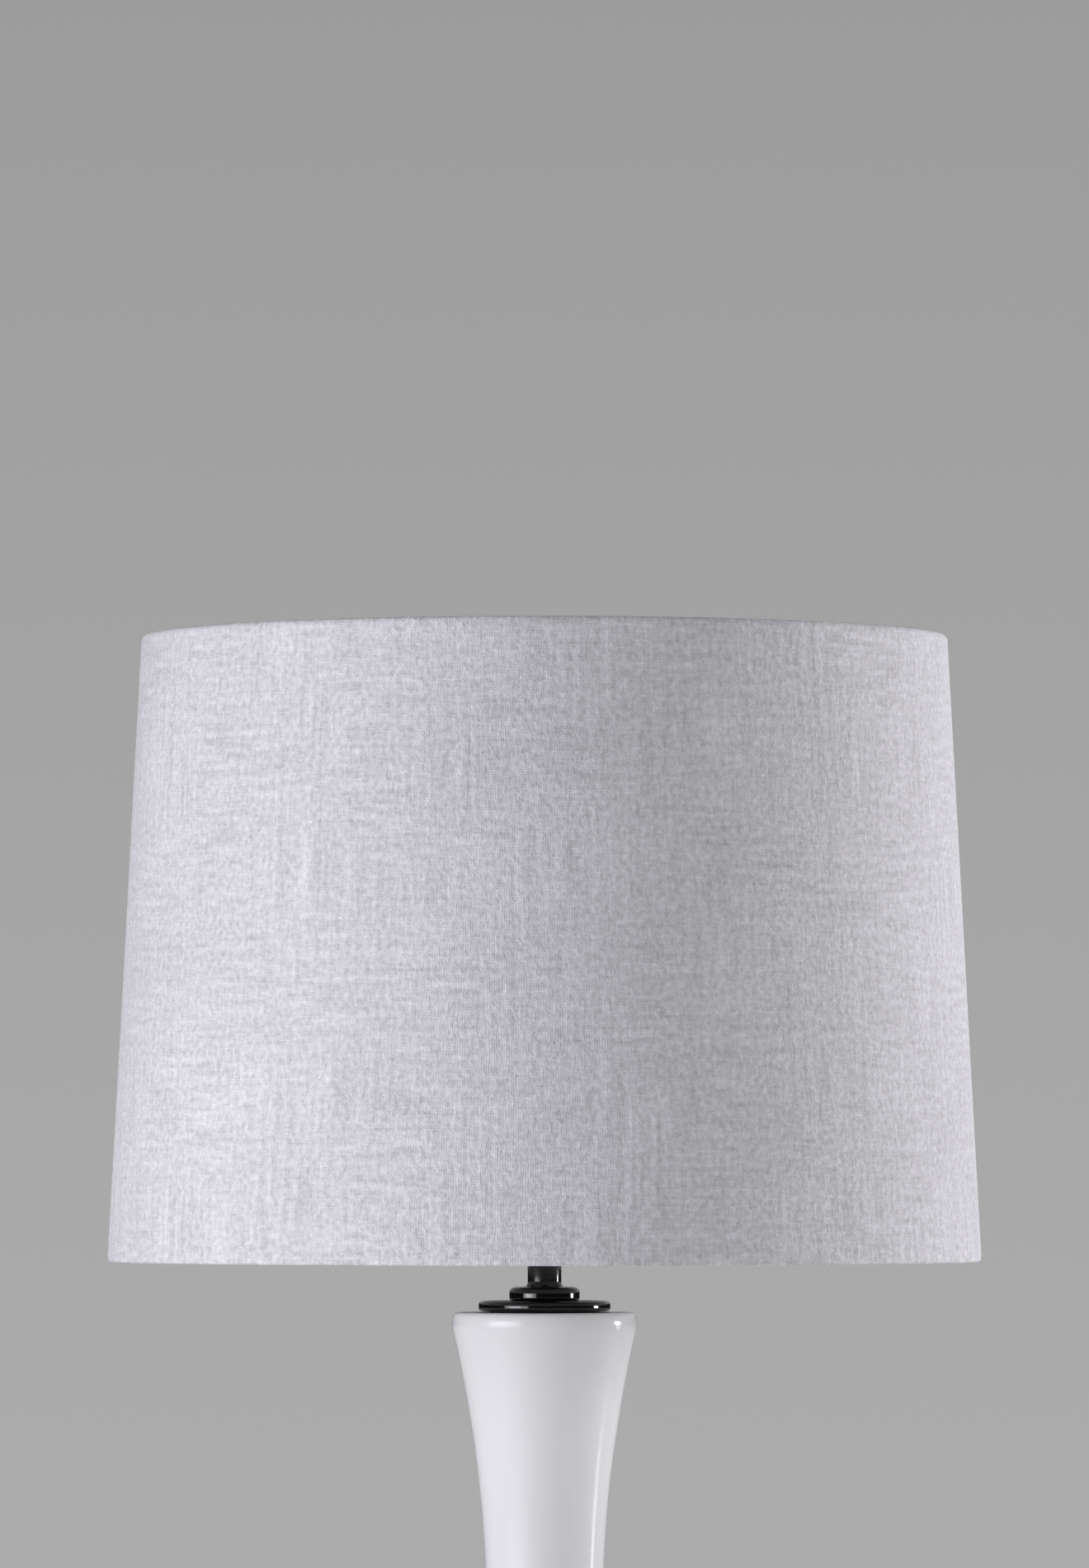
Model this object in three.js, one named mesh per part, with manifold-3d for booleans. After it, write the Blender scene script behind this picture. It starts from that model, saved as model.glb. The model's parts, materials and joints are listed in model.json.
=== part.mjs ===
// A table lamp: a white glazed ceramic bottle on a black metal base, a black cap stack and neck, a lamp
// holder with a turn-knob switch, a harp, and a tapered drum shade of linen on a spider under a finial.
// Millimetres, +Z up, origin at the centre of the felt's underside. The harp lies in the XZ plane, the
// switch knob points to the front (-Y) and the cord inlet opens at the back (+Y).
import * as THREE from "three";
import { mergeVertices } from "three/addons/utils/BufferGeometryUtils.js";
import Module from "manifold-3d";

const wasm = await Module();
wasm.setup();

// ---------------------------------------------------------------- driving dimensions
const GAP = 0.3; // air left between pieces that move on each other or are cut to each other
const ROUND = { large: 36, medium: 24, small: 16 }; // facets round a circle

const felt = { radius: 76, height: 2 };
const base = { radius: 80, height: 16, edge: 4, hollow: 68, roof: 4 };
const plinth = { radius: 68, height: 7, edge: 2.5 };
const footGasket = { inner: 51, outer: 58, height: 1 };
const vase = { height: 387, wall: 6.5, foot: 60, belly: 97, waist: 29, rim: 46, mouth: 16, lip: 3.4 };
const vaseGasket = { inner: 17, outer: 27, height: 0.6 };
const cap = { radius: 32.4, height: 5, spigot: 15, spigotDepth: 8 };
const checkRing = { radius: 17.3, height: 6.9 };
const neck = { radius: 8.3, height: 17.5 };
const rod = { radius: 4.85, bore: 3.2, hole: 5.2 }; // 1/8 IP lamp pipe, and the holes it passes through
const saddle = { thick: 1.6, width: 7, pad: 9, reach: 24.9, upright: 12 };
const harp = { height: 279, wire: 1.8, leg: 27, legTop: 38, bow: 57, bowLow: 97, bowHigh: 147, top: 14 };
const sleeve = { wall: 0.8, height: 20, corner: 2.4 };
const stud = { radius: 3.17, height: 9.5, seat: 11, seatThick: 1.7 };
const holder = { radius: 17.3, height: 69, wall: 0.6, cap: 19.2, capSeat: 8, knobHeight: 29 };
const core = { radius: 15.2, bottom: 17, height: 24, flat: 12.5, screwHeight: 28 };
const knob = { radius: 7, flute: 0.7, length: 15, shaft: 2.3, shaftFrom: 9, shaftLength: 24, flutes: 12 };
const contactLeaf = 0.8; // thickness of the holder's spring contact
const bulb = { radius: 30, cap: 13.1, length: 108, neck: 26.5, seam: 66, chips: 8 };
const shade = { bottom: 215, top: 198.5, height: 309, cloth: 0.7, liner: 0.5, clearOfVase: 24.5 };
const ringWire = 2.2;
const spider = { arm: 1.9, hub: 14, hole: 5.6, thick: 1.6, arms: 3 };
const finial = { flange: 9, height: 8.3, ball: 8.4, flat: 0.8, insert: 5, thread: 7.2 };

// ---------------------------------------------------------------- heights up the lamp
const baseZ = felt.height;
const plinthZ = baseZ + base.height;
const vaseZ = plinthZ + plinth.height + footGasket.height;
const rimZ = vaseZ + vase.height;
const capZ = rimZ + vaseGasket.height;
const checkRingZ = capZ + cap.height;
const neckZ = checkRingZ + checkRing.height;
const saddleZ = neckZ + neck.height;
const nutZ = saddleZ + saddle.thick;
const holderZ = saddleZ + 5;
const bulbZ = holderZ + core.bottom + core.height + contactLeaf + 2 * GAP;
const harpTopZ = saddleZ + harp.height;
const hubZ = harpTopZ + GAP;
const finialZ = hubZ + spider.thick + GAP;
const shadeZ = rimZ + shade.clearOfVase;

// ---------------------------------------------------------------- materials
function finish(color, roughness, metalness = 0) {
  return new THREE.MeshStandardMaterial({ color, roughness, metalness });
}

const glaze = finish(0xe9e8ec, 0.12);
const blackMetal = finish(0x0b0b0d, 0.2, 0.9);
const steel = finish(0xa7a9ac, 0.35, 1);
const brass = finish(0xb8924a, 0.3, 1);
const aluminium = finish(0xc4c6c8, 0.35, 1);
const castIron = finish(0x3a3a3c, 0.7, 0.6);
const linen = finish(0xc6c4cd, 0.95);
const whiteLiner = finish(0xf0efec, 0.6);
const blackPlastic = finish(0x141416, 0.45);
const fibre = finish(0x9a8a70, 0.9);
const rubber = finish(0x1a1a1a, 0.85);
const feltCloth = finish(0x232325, 1);
const opal = finish(0xf6f5f0, 0.4);
const board = finish(0x2f5a3c, 0.5);

// ---------------------------------------------------------------- shape helpers
const lamp = new THREE.Group();

function piece(name, geometry, material, z = 0) {
  const mesh = new THREE.Mesh(geometry, material);
  mesh.name = name;
  mesh.position.z = z;
  lamp.add(mesh);
  return mesh;
}

// Turns a profile of [radius, height] points about Z. The profile ends on the axis or is closed here.
function turned(profile, facets) {
  const points = profile.map(([r, z]) => new THREE.Vector2(r, z));
  const onAxis = points[0].x === 0 && points.at(-1).x === 0;
  if (!onAxis) points.push(points[0].clone());
  if (THREE.ShapeUtils.area(points) < 0) points.reverse();
  return new THREE.LatheGeometry(points, facets).rotateX(Math.PI / 2);
}

// A plain ring or washer.
const ring = (inner, outer, height, facets) =>
  turned([[inner, 0], [outer, 0], [outer, height], [inner, height]], facets);

// Points on an arc of a profile, in degrees from +radius towards +height.
function arc(r, z, radius, from, to, steps) {
  return Array.from({ length: steps + 1 }, (_, i) => {
    const a = THREE.MathUtils.degToRad(from + ((to - from) * i) / steps);
    return [r + radius * Math.cos(a), z + radius * Math.sin(a)];
  });
}

// Points on a cubic curve of a profile, without its first point.
function bend(a, b, c, d, steps) {
  const curve = new THREE.CubicBezierCurve(...[a, b, c, d].map(([x, y]) => new THREE.Vector2(x, y)));
  return curve.getPoints(steps).slice(1).map((p) => [p.x, p.y]);
}

// A solid turned disc.
const disc = (radius, height, facets) => turned([[0, 0], [radius, 0], [radius, height], [0, height]], facets);

// A round disc whose upper edge is rounded, with a hole through it.
function roundedDisc(radius, hole, height, edge, facets) {
  const corner = arc(radius - edge, height - edge, edge, 0, 90, 3);
  return turned([[hole, 0], [radius, 0], ...corner, [hole, height]], facets);
}

// A round bar along Y, centred on the origin.
const roundBar = (radius, length, facets) => new THREE.CylinderGeometry(radius, radius, length, facets);

// The same bar along X.
const crossBar = (radius, length, facets) => roundBar(radius, length, facets).rotateZ(Math.PI / 2);

// A wire of round section along a curve.
function wire(curve, radius, sides, steps) {
  const section = new THREE.Shape().absarc(0, 0, radius, 0, 2 * Math.PI);
  const along = { extrudePath: curve, steps, curveSegments: sides, bevelEnabled: false };
  return new THREE.ExtrudeGeometry(section, along);
}

const extrude = (shape, depth, curveSegments = 8) =>
  new THREE.ExtrudeGeometry(shape, { depth, curveSegments, bevelEnabled: false });

function hexagon(acrossFlats, hole) {
  const shape = new THREE.Shape();
  const corner = acrossFlats / Math.sqrt(3);
  for (let i = 0; i < 6; i++) {
    const a = (i * Math.PI) / 3;
    shape[i ? "lineTo" : "moveTo"](corner * Math.cos(a), corner * Math.sin(a));
  }
  shape.holes.push(new THREE.Path().absarc(0, 0, hole, 0, 2 * Math.PI, true));
  return shape;
}

// A rectangle with round corners about a centre.
function roundedRectangle(kind, x, halfX, halfY, corner) {
  const outline = new kind();
  outline.absarc(x + halfX - corner, halfY - corner, corner, 0, Math.PI / 2);
  outline.absarc(x - halfX + corner, halfY - corner, corner, Math.PI / 2, Math.PI);
  outline.absarc(x - halfX + corner, corner - halfY, corner, Math.PI, 1.5 * Math.PI);
  outline.absarc(x + halfX - corner, corner - halfY, corner, 1.5 * Math.PI, 2 * Math.PI);
  return outline;
}

// ---------------------------------------------------------------- booleans
function solid(geometry) {
  const bare = geometry.clone();
  bare.deleteAttribute("normal");
  bare.deleteAttribute("uv");
  const merged = mergeVertices(bare, 1e-3);
  const vertProperties = merged.attributes.position.array;
  return new wasm.Manifold(new wasm.Mesh({ numProp: 3, vertProperties, triVerts: merged.index.array }));
}

function geometryOf(manifold) {
  const mesh = manifold.getMesh();
  const geometry = new THREE.BufferGeometry();
  geometry.setAttribute("position", new THREE.BufferAttribute(mesh.vertProperties, 3));
  geometry.setIndex(new THREE.BufferAttribute(mesh.triVerts, 1));
  return geometry;
}

function cut(body, ...tools) {
  return geometryOf(tools.reduce((left, tool) => left.subtract(solid(tool)), solid(body)));
}

function join(body, ...more) {
  return geometryOf(more.reduce((sum, part) => sum.add(solid(part)), solid(body)));
}

// ---------------------------------------------------------------- base
function buildBase() {
  piece("base_felt", disc(felt.radius, felt.height, ROUND.large), feltCloth);

  const inletZ = 7;
  const ceiling = base.height - base.roof;
  const shell = turned(
    [
      [base.hollow, 0],
      [base.radius - 1, 0],
      [base.radius, 1],
      ...arc(base.radius - base.edge, base.height - base.edge, base.edge, 0, 90, 3),
      [rod.hole, base.height],
      [rod.hole, ceiling],
      [base.hollow, ceiling],
    ],
    ROUND.large,
  );
  const inletHole = roundBar(4.6, 30, ROUND.small).translate(0, base.radius - 6, inletZ);
  piece("base_plate", cut(shell, inletHole), blackMetal, baseZ);

  const bushing = turned([[3.4, 0], [4.3, 0], [4.3, 10], [6, 10], [5.6, 12], [3.4, 12]], ROUND.small);
  bushing.rotateX(-Math.PI / 2).translate(0, base.radius - 9.2, 0);
  piece("cord_bushing", bushing, blackPlastic, baseZ + inletZ);

  const weight = ring(20, base.hollow - 4, ceiling - 2 * GAP, ROUND.large);
  const cordChannel = new THREE.BoxGeometry(9, 60, 40).translate(0, 45, 0);
  piece("base_weight", cut(weight, cordChannel), castIron, baseZ + GAP);

  const washer = 1.6;
  const lockWasher = 1.2;
  const nut = 4.2;
  const washerZ = baseZ + ceiling - washer;
  const nutBottom = washerZ - lockWasher - nut;
  piece("rod_washer", ring(rod.hole, 14, washer, ROUND.small), steel, washerZ);
  piece("rod_lock_washer", ring(rod.hole, 9, lockWasher, ROUND.small), steel, washerZ - lockWasher);
  piece("rod_nut", extrude(hexagon(15, rod.hole), nut, 10), steel, nutBottom);

  const step = roundedDisc(plinth.radius, rod.hole, plinth.height, plinth.edge, ROUND.large);
  piece("plinth_disc", step, blackMetal, plinthZ);
  const gasket = ring(footGasket.inner, footGasket.outer, footGasket.height, ROUND.large);
  piece("foot_gasket", gasket, rubber, plinthZ + plinth.height);
}

// ---------------------------------------------------------------- ceramic bottle
const bellyZ = 90;
const waistZ = vase.height - 150;

// Outer profile of the bottle from its foot to the flat of its rim.
function vaseOutside() {
  const { height, foot, belly, waist, rim, lip } = vase;
  const lipZ = height - lip;
  return [
    [foot - 1.5, 0],
    [foot, 1.5],
    [foot, 5],
    ...bend([foot, 5], [foot + 22, 13], [belly, 48], [belly, bellyZ], 5),
    ...bend([belly, bellyZ], [belly, bellyZ + 58], [waist, waistZ - 72], [waist, waistZ], 8),
    ...bend([waist, waistZ], [waist, height - 85], [rim - 8, height - 38], [rim, lipZ], 6),
    ...arc(rim - lip, lipZ, lip, 30, 90, 2),
  ];
}

// The cavity, from the mouth down to the floor, one wall inside the outer curves.
function vaseInside(floor) {
  const { height, belly, waist, rim, mouth, wall } = vase;
  const inBelly = belly - wall;
  const inWaist = waist - wall;
  const ceiling = [rim - wall - 4, height - 13];
  return [
    [mouth, height],
    [mouth, height - 7],
    ceiling,
    ...bend(ceiling, [rim - wall - 12, height - 48], [inWaist, height - 88], [inWaist, waistZ], 4),
    ...bend([inWaist, waistZ], [inWaist, waistZ - 72], [inBelly, bellyZ + 56], [inBelly, bellyZ], 5),
    ...bend([inBelly, bellyZ], [inBelly, 50], [78, 20], [50, floor], 3),
  ];
}

function buildVase() {
  const floor = 9;
  const footRing = 50; // inner radius of the ring that the bottle stands on
  const recess = 3;
  const underside = [[12, floor], [12, recess], [footRing, recess], [footRing, 0]];
  const profile = [...vaseOutside(), ...vaseInside(floor), ...underside];
  piece("ceramic_body", turned(profile, ROUND.large), glaze, vaseZ);

  const bottom = baseZ + 3;
  const top = holderZ + 6;
  piece("threaded_rod", ring(rod.bore, rod.radius, top - bottom, ROUND.small), steel, bottom);
}

// ---------------------------------------------------------------- cap stack and neck
function buildCapStack() {
  const gasket = ring(vaseGasket.inner, vaseGasket.outer, vaseGasket.height, ROUND.medium);
  piece("vase_gasket", gasket, rubber, rimZ);

  const profile = [
    [rod.hole, -cap.spigotDepth],
    [cap.spigot, -cap.spigotDepth],
    [cap.spigot, 0],
    [cap.radius - 0.8, 0],
    [cap.radius, 0.8],
    ...arc(cap.radius - 1.2, cap.height - 1.2, 1.2, 0, 90, 2),
    [rod.hole, cap.height],
  ];
  piece("vase_cap", turned(profile, ROUND.medium), blackMetal, capZ);
  const collar = roundedDisc(checkRing.radius, rod.hole, checkRing.height, 2, ROUND.medium);
  piece("check_ring", collar, blackMetal, checkRingZ);
  piece("neck_tube", ring(rod.hole, neck.radius, neck.height, ROUND.medium), blackMetal, neckZ);
}

// ---------------------------------------------------------------- harp
// The loop starts beside one upright, rises, bows out round the bulb and comes in to a flat top.
function harpPath(topZ) {
  const { leg, legTop, bow, bowLow, bowHigh, top } = harp;
  const stretches = [
    [[leg, 1], [leg, legTop]],
    [[leg, legTop], [leg, legTop + 33], [bow, bowLow], [bow, bowHigh]],
    [[bow, bowHigh], [bow, bowHigh + 78], [top + 26, topZ], [top, topZ]],
  ];
  const curveThrough = (points, side) => {
    const at = points.map(([x, z]) => new THREE.Vector3(side * x, 0, z));
    if (side > 0) at.reverse();
    return at.length === 2 ? new THREE.LineCurve3(...at) : new THREE.CubicBezierCurve3(...at);
  };
  const path = new THREE.CurvePath();
  stretches.forEach((points) => path.add(curveThrough(points, -1)));
  path.add(new THREE.LineCurve3(new THREE.Vector3(-top, 0, topZ), new THREE.Vector3(top, 0, topZ)));
  stretches.reverse().forEach((points) => path.add(curveThrough(points, 1)));
  return path;
}

function buildSaddle() {
  const { thick, width, pad, reach, upright } = saddle;
  const arms = new THREE.BoxGeometry(2 * reach, width, thick).translate(0, 0, thick / 2);
  const rise = thick + upright;
  const uprights = [-1, 1].map((side) =>
    new THREE.BoxGeometry(thick, width, rise).translate(side * (reach - thick / 2), 0, rise / 2),
  );
  const hole = disc(rod.hole, 3 * thick, ROUND.small).translate(0, 0, -thick);
  const body = join(arms, ...uprights, disc(pad, thick, ROUND.small));
  piece("harp_saddle", cut(body, hole), blackMetal, saddleZ);
  piece("saddle_locknut", extrude(hexagon(16, rod.hole), 3, 10), steel, nutZ);
}

// The clip is folded down over the flat of the loop, and carries the seat and stud.
function buildHarp() {
  const radius = harp.wire;
  const clipTop = harp.height - stud.seatThick - GAP;
  const clipRoof = 1.2;
  const clipHeight = 6;
  const topZ = clipTop - clipRoof - GAP - radius;
  piece("harp_wire", wire(harpPath(topZ), radius, 6, 56), blackMetal, saddleZ);

  const clip = new THREE.BoxGeometry(14, 9, clipHeight).translate(0, 0, clipTop - clipHeight / 2);
  const groove = crossBar(radius + GAP, 20, 12).translate(0, 0, topZ);
  const channel = new THREE.BoxGeometry(20, 2 * radius, 8).translate(0, 0, topZ - 4);
  piece("harp_clip", cut(clip, groove, channel), blackMetal, saddleZ);

  const seatBottom = -stud.seatThick;
  const chamfer = 0.8;
  const profile = [
    [0, seatBottom],
    [stud.seat - chamfer, seatBottom],
    [stud.seat, seatBottom + chamfer],
    [stud.seat, 0],
    [stud.radius, 0],
    [stud.radius, stud.height - chamfer],
    [stud.radius - chamfer, stud.height],
    [0, stud.height],
  ];
  piece("harp_seat", turned(profile, ROUND.small), brass, harpTopZ);
}

// Each sleeve holds a leg of the loop against an upright, and slides up the leg to free it.
function buildSleeves() {
  const from = saddle.reach - saddle.thick;
  const to = harp.leg + harp.wire;
  const middle = (from + to) / 2;
  const halfX = (to - from) / 2 + GAP;
  const halfY = saddle.width / 2 + GAP;
  const { wall, height, corner } = sleeve;
  const outline = roundedRectangle(THREE.Shape, middle, halfX + wall, halfY + wall, corner);
  outline.holes.push(roundedRectangle(THREE.Path, middle, halfX, halfY, wall));
  const tube = extrude(outline, height, 4);
  piece("harp_sleeve_right", tube, blackMetal, nutZ + GAP);
  piece("harp_sleeve_left", tube, blackMetal, nutZ + GAP).rotation.z = Math.PI;
}

// ---------------------------------------------------------------- lamp holder and switch
const screwShellZ = core.bottom + core.height + GAP;

// A hole for the switch's shaft, from near the middle of the holder towards its front.
function shaftHole(radius, length) {
  const from = knob.shaftFrom - 1;
  return roundBar(radius, length, 14).translate(0, -from - length / 2, holder.knobHeight);
}

function buildHolderShell() {
  const { radius, height, wall, cap: lip, capSeat } = holder;
  const capHeight = 20;
  const capWall = 0.9;
  const shoulder = 16;
  const capProfile = [
    [rod.hole, 0],
    [capSeat, 0],
    [capSeat, 4],
    ...bend([capSeat, 4], [9, 9], [lip, 9], [lip, shoulder], 4),
    [lip, capHeight],
    [lip - capWall, capHeight],
    [lip - capWall, shoulder],
    [capSeat, 6.5],
    [rod.hole, 6.5],
  ];
  piece("socket_cap", turned(capProfile, ROUND.medium), blackMetal, holderZ);
  const setScrewLength = 3;
  const setScrew = crossBar(1.6, setScrewLength, 10).translate(capSeat + GAP + setScrewLength / 2, 0, 2);
  piece("socket_set_screw", setScrew, steel, holderZ);

  const bead = radius + wall;
  const shellProfile = [
    [radius, core.bottom + 3.5],
    [radius, height - 3],
    [bead, height - 2],
    [bead, height - 1],
    [radius, height],
    [radius - wall, height],
    [radius - wall, core.bottom],
    [bead, core.bottom],
  ];
  const opening = shaftHole(knob.shaft + 0.9, 20);
  piece("socket_shell", cut(turned(shellProfile, ROUND.medium), opening), blackMetal, holderZ);

  const linerOuter = radius - wall - GAP;
  const sleeveHeight = height - core.bottom - 2.5;
  const liner = ring(linerOuter - 0.8, linerOuter, sleeveHeight, ROUND.medium);
  liner.translate(0, 0, core.bottom + 0.5);
  piece("socket_liner", cut(liner, opening), fibre, holderZ);
}

function buildHolderCore() {
  const block = disc(core.radius, core.height, ROUND.small).translate(0, 0, core.bottom);
  const flatWidth = 10;
  const flats = [-1, 1].map((side) => {
    const x = side * (core.flat + flatWidth / 2);
    return new THREE.BoxGeometry(flatWidth, 40, 14).translate(x, 0, core.screwHeight);
  });
  piece("socket_core", cut(block, ...flats, shaftHole(knob.shaft + GAP, 10)), blackPlastic, holderZ);

  const terminal = (name, side, material) => {
    const head = crossBar(2.6, 1.5, 12).translate(side * (core.flat + 1.1), 0, core.screwHeight);
    piece(name, head, material, holderZ);
  };
  terminal("terminal_screw_brass", 1, brass);
  terminal("terminal_screw_silver", -1, steel);

  const screwShell = ring(bulb.cap + 0.6, bulb.cap + 1.2, 25, ROUND.small);
  piece("socket_screw_shell", screwShell, aluminium, holderZ + screwShellZ);
  const leaf = new THREE.BoxGeometry(5, 14, contactLeaf).translate(0, 0, contactLeaf / 2);
  piece("socket_contact", leaf, brass, holderZ + screwShellZ);
}

// The knob and shaft turn together about the shaft's line, which runs to the front.
function buildSwitch() {
  const { radius, flute, length, shaft, shaftFrom, shaftLength, flutes } = knob;
  const shaftEnd = -shaftFrom - shaftLength;
  const bar = roundBar(shaft, shaftLength, 12).translate(0, shaftEnd + shaftLength / 2, 0);
  piece("switch_shaft", bar, brass, holderZ + holder.knobHeight);

  const grip = 5; // length of the shaft inside the knob
  const outline = new THREE.Shape();
  for (let i = 0; i < 2 * flutes; i++) {
    const a = (i * Math.PI) / flutes;
    const r = i % 2 ? radius - flute : radius;
    outline[i ? "lineTo" : "moveTo"](r * Math.cos(a), r * Math.sin(a));
  }
  const body = extrude(outline, length).rotateX(Math.PI / 2).translate(0, shaftEnd + grip, 0);
  const boreLength = 2 * (grip + GAP);
  const bore = roundBar(shaft + GAP, boreLength, 12).translate(0, shaftEnd + grip, 0);
  piece("switch_knob", cut(body, bore), blackPlastic, holderZ + holder.knobHeight);
}

// ---------------------------------------------------------------- bulb
function buildBulbCap(bottom) {
  const button = [[0, 0], [2.5, 0], [4.4, 1], [4.4, 2], [0, 2]];
  piece("bulb_contact", turned(button, ROUND.small), brass, bottom);
  const insulator = [[0, 2.3], [5.5, 2.3], [9.5, 4.5], [9.5, 5.5], [0, 5.5]];
  piece("bulb_insulator", turned(insulator, ROUND.small), blackPlastic, bottom);

  const capBottom = 5.8;
  const top = bulb.neck - GAP;
  const wall = 0.9;
  const screwCap = [
    [9.8, capBottom],
    [bulb.cap, 9],
    [bulb.cap, top],
    [bulb.cap - wall, top],
    [bulb.cap - wall, 9.4],
    [9.2, capBottom + 0.8],
  ];
  piece("bulb_screw_cap", turned(screwCap, ROUND.small), aluminium, bottom);
}

function buildBulbBody(bottom) {
  const { radius, length, neck: neckBottom, seam } = bulb;
  const housing = [
    [13.5, neckBottom],
    ...bend([13.5, neckBottom], [14, 38], [radius - 1, 48], [radius - 0.5, seam], 5),
    [radius - 2, seam],
    ...bend([radius - 2, seam], [radius - 3, 50], [12, 40], [11.8, neckBottom], 4),
  ];
  piece("bulb_housing", turned(housing, ROUND.medium), opal, bottom);

  // The dome's section is a quarter of an ellipse, with its profile ending on the axis at both faces.
  const domeZ = seam + GAP;
  const wall = 1.3;
  const quarter = 0.5523;
  const rise = length - domeZ;
  const inner = radius - wall;
  const innerTop = length - wall;
  const innerRise = rise - wall;
  const outerFull = [radius, domeZ + rise * quarter];
  const innerFull = [inner, domeZ + innerRise * quarter];
  const dome = [
    [0, innerTop],
    ...bend([0, innerTop], [inner * quarter, innerTop], innerFull, [inner, domeZ], 4),
    [radius, domeZ],
    ...bend([radius, domeZ], outerFull, [radius * quarter, length], [0, length], 5),
  ];
  piece("bulb_dome", turned(dome, ROUND.medium), opal, bottom);

  const chips = Array.from({ length: bulb.chips }, (_, i) =>
    new THREE.BoxGeometry(3.5, 3, 1.4).translate(16, 0, 1.8).rotateZ((i * 2 * Math.PI) / bulb.chips),
  );
  const ledBoard = join(disc(25, 1.6, ROUND.small), ...chips);
  piece("bulb_led_board", ledBoard, aluminium, bottom + seam - 4);
  const circuit = new THREE.BoxGeometry(14, 1.6, 30);
  const capacitor = roundBar(4, 14, 10).rotateX(Math.PI / 2).translate(0, -4.4, 2);
  piece("bulb_driver", join(circuit, capacitor), board, bottom + 44);
}

// ---------------------------------------------------------------- shade
// Radius of the shade's outer face at a height above its lower edge.
const shadeRadius = (z) => shade.bottom + ((shade.top - shade.bottom) * z) / shade.height;
const hemRadius = ringWire + GAP + shade.cloth; // outer radius of the cloth rolled round a ring wire
const ringCentre = {
  bottom: [shadeRadius(hemRadius) - hemRadius, hemRadius],
  top: [shadeRadius(shade.height - hemRadius) - hemRadius, shade.height - hemRadius],
};

function buildShade() {
  const [topR, topZ] = ringCentre.top;
  const [bottomR, bottomZ] = ringCentre.bottom;
  const insideRoll = hemRadius - shade.cloth;
  const clothProfile = [
    ...arc(bottomR, bottomZ, hemRadius, -240, 0, 4),
    ...arc(topR, topZ, hemRadius, 0, 240, 4),
    ...arc(topR, topZ, insideRoll, 240, 0, 4),
    ...arc(bottomR, bottomZ, insideRoll, 0, -240, 4),
  ];
  const armAngle = (i) => Math.PI / 2 + (2 * Math.PI * i) / spider.arms;
  const slitLength = 8;
  const slitX = topR - ringWire + 1 - slitLength / 2;
  const slits = Array.from({ length: spider.arms }, (_, i) =>
    crossBar(spider.arm + 0.5, slitLength, 12).translate(slitX, 0, topZ).rotateZ(armAngle(i)),
  );
  piece("shade_fabric", cut(turned(clothProfile, ROUND.large), ...slits), linen, shadeZ);

  const back = shade.cloth + GAP;
  const low = 2 * hemRadius + GAP;
  const high = shade.height - low;
  const linerProfile = [
    [shadeRadius(low) - back - shade.liner, low],
    [shadeRadius(low) - back, low],
    [shadeRadius(high) - back, high],
    [shadeRadius(high) - back - shade.liner, high],
  ];
  piece("shade_liner", turned(linerProfile, ROUND.large), whiteLiner, shadeZ);

  const hoop = ([r, z]) => turned(arc(r, z, ringWire, 0, 300, 5), ROUND.large);
  piece("shade_top_ring", hoop(ringCentre.top), steel, shadeZ);
  piece("shade_bottom_ring", hoop(ringCentre.bottom), steel, shadeZ);

  piece("spider_hub", ring(spider.hole, spider.hub, spider.thick, ROUND.small), steel, hubZ);
  const from = [spider.hub + GAP, hubZ + spider.thick / 2];
  const to = [topR - ringWire - GAP, shadeZ + topZ];
  for (let i = 0; i < spider.arms; i++) {
    const [c, s] = [Math.cos(armAngle(i)), Math.sin(armAngle(i))];
    const at = ([r, z]) => new THREE.Vector3(r * c, r * s, z);
    const curve = new THREE.CubicBezierCurve3(...[from, [75, from[1]], [120, to[1]], to].map(at));
    piece(`spider_arm_${i + 1}`, wire(curve, spider.arm, 6, 8), steel);
  }
}

// ---------------------------------------------------------------- finial
function buildFinial() {
  const insert = ring(stud.radius + GAP, finial.insert, finial.thread, ROUND.small);
  piece("finial_insert", insert, brass, finialZ);

  const bore = finial.insert + GAP;
  const boreTop = finial.thread + GAP;
  const cup = [
    [0, boreTop],
    [bore, boreTop],
    [bore, 0],
    [finial.flange - 0.6, 0],
    [finial.flange, 0.8],
    [finial.flange - 0.5, 2],
    [6.6, 3],
    [6.2, 5],
    [7, 7.4],
    [7, finial.height],
    [0, finial.height],
  ];
  piece("finial_base", turned(cup, ROUND.small), blackMetal, finialZ);

  // The ball stands on a small flat.
  const flatZ = finial.flat - finial.ball;
  const flatAngle = THREE.MathUtils.radToDeg(Math.asin(flatZ / finial.ball));
  const ball = [[0, flatZ], ...arc(0, 0, finial.ball, flatAngle, 90, 6).slice(0, -1), [0, finial.ball]];
  piece("finial_ball", turned(ball, ROUND.small), blackMetal, finialZ + finial.height + GAP - flatZ);
}

buildBase();
buildVase();
buildCapStack();
buildSaddle();
buildHarp();
buildSleeves();
buildHolderShell();
buildHolderCore();
buildSwitch();
buildBulbCap(bulbZ);
buildBulbBody(bulbZ);
buildShade();
buildFinial();

export default lamp;
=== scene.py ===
import bpy
import bmesh
import json
import math
import random
from mathutils import Matrix, Vector


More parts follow.
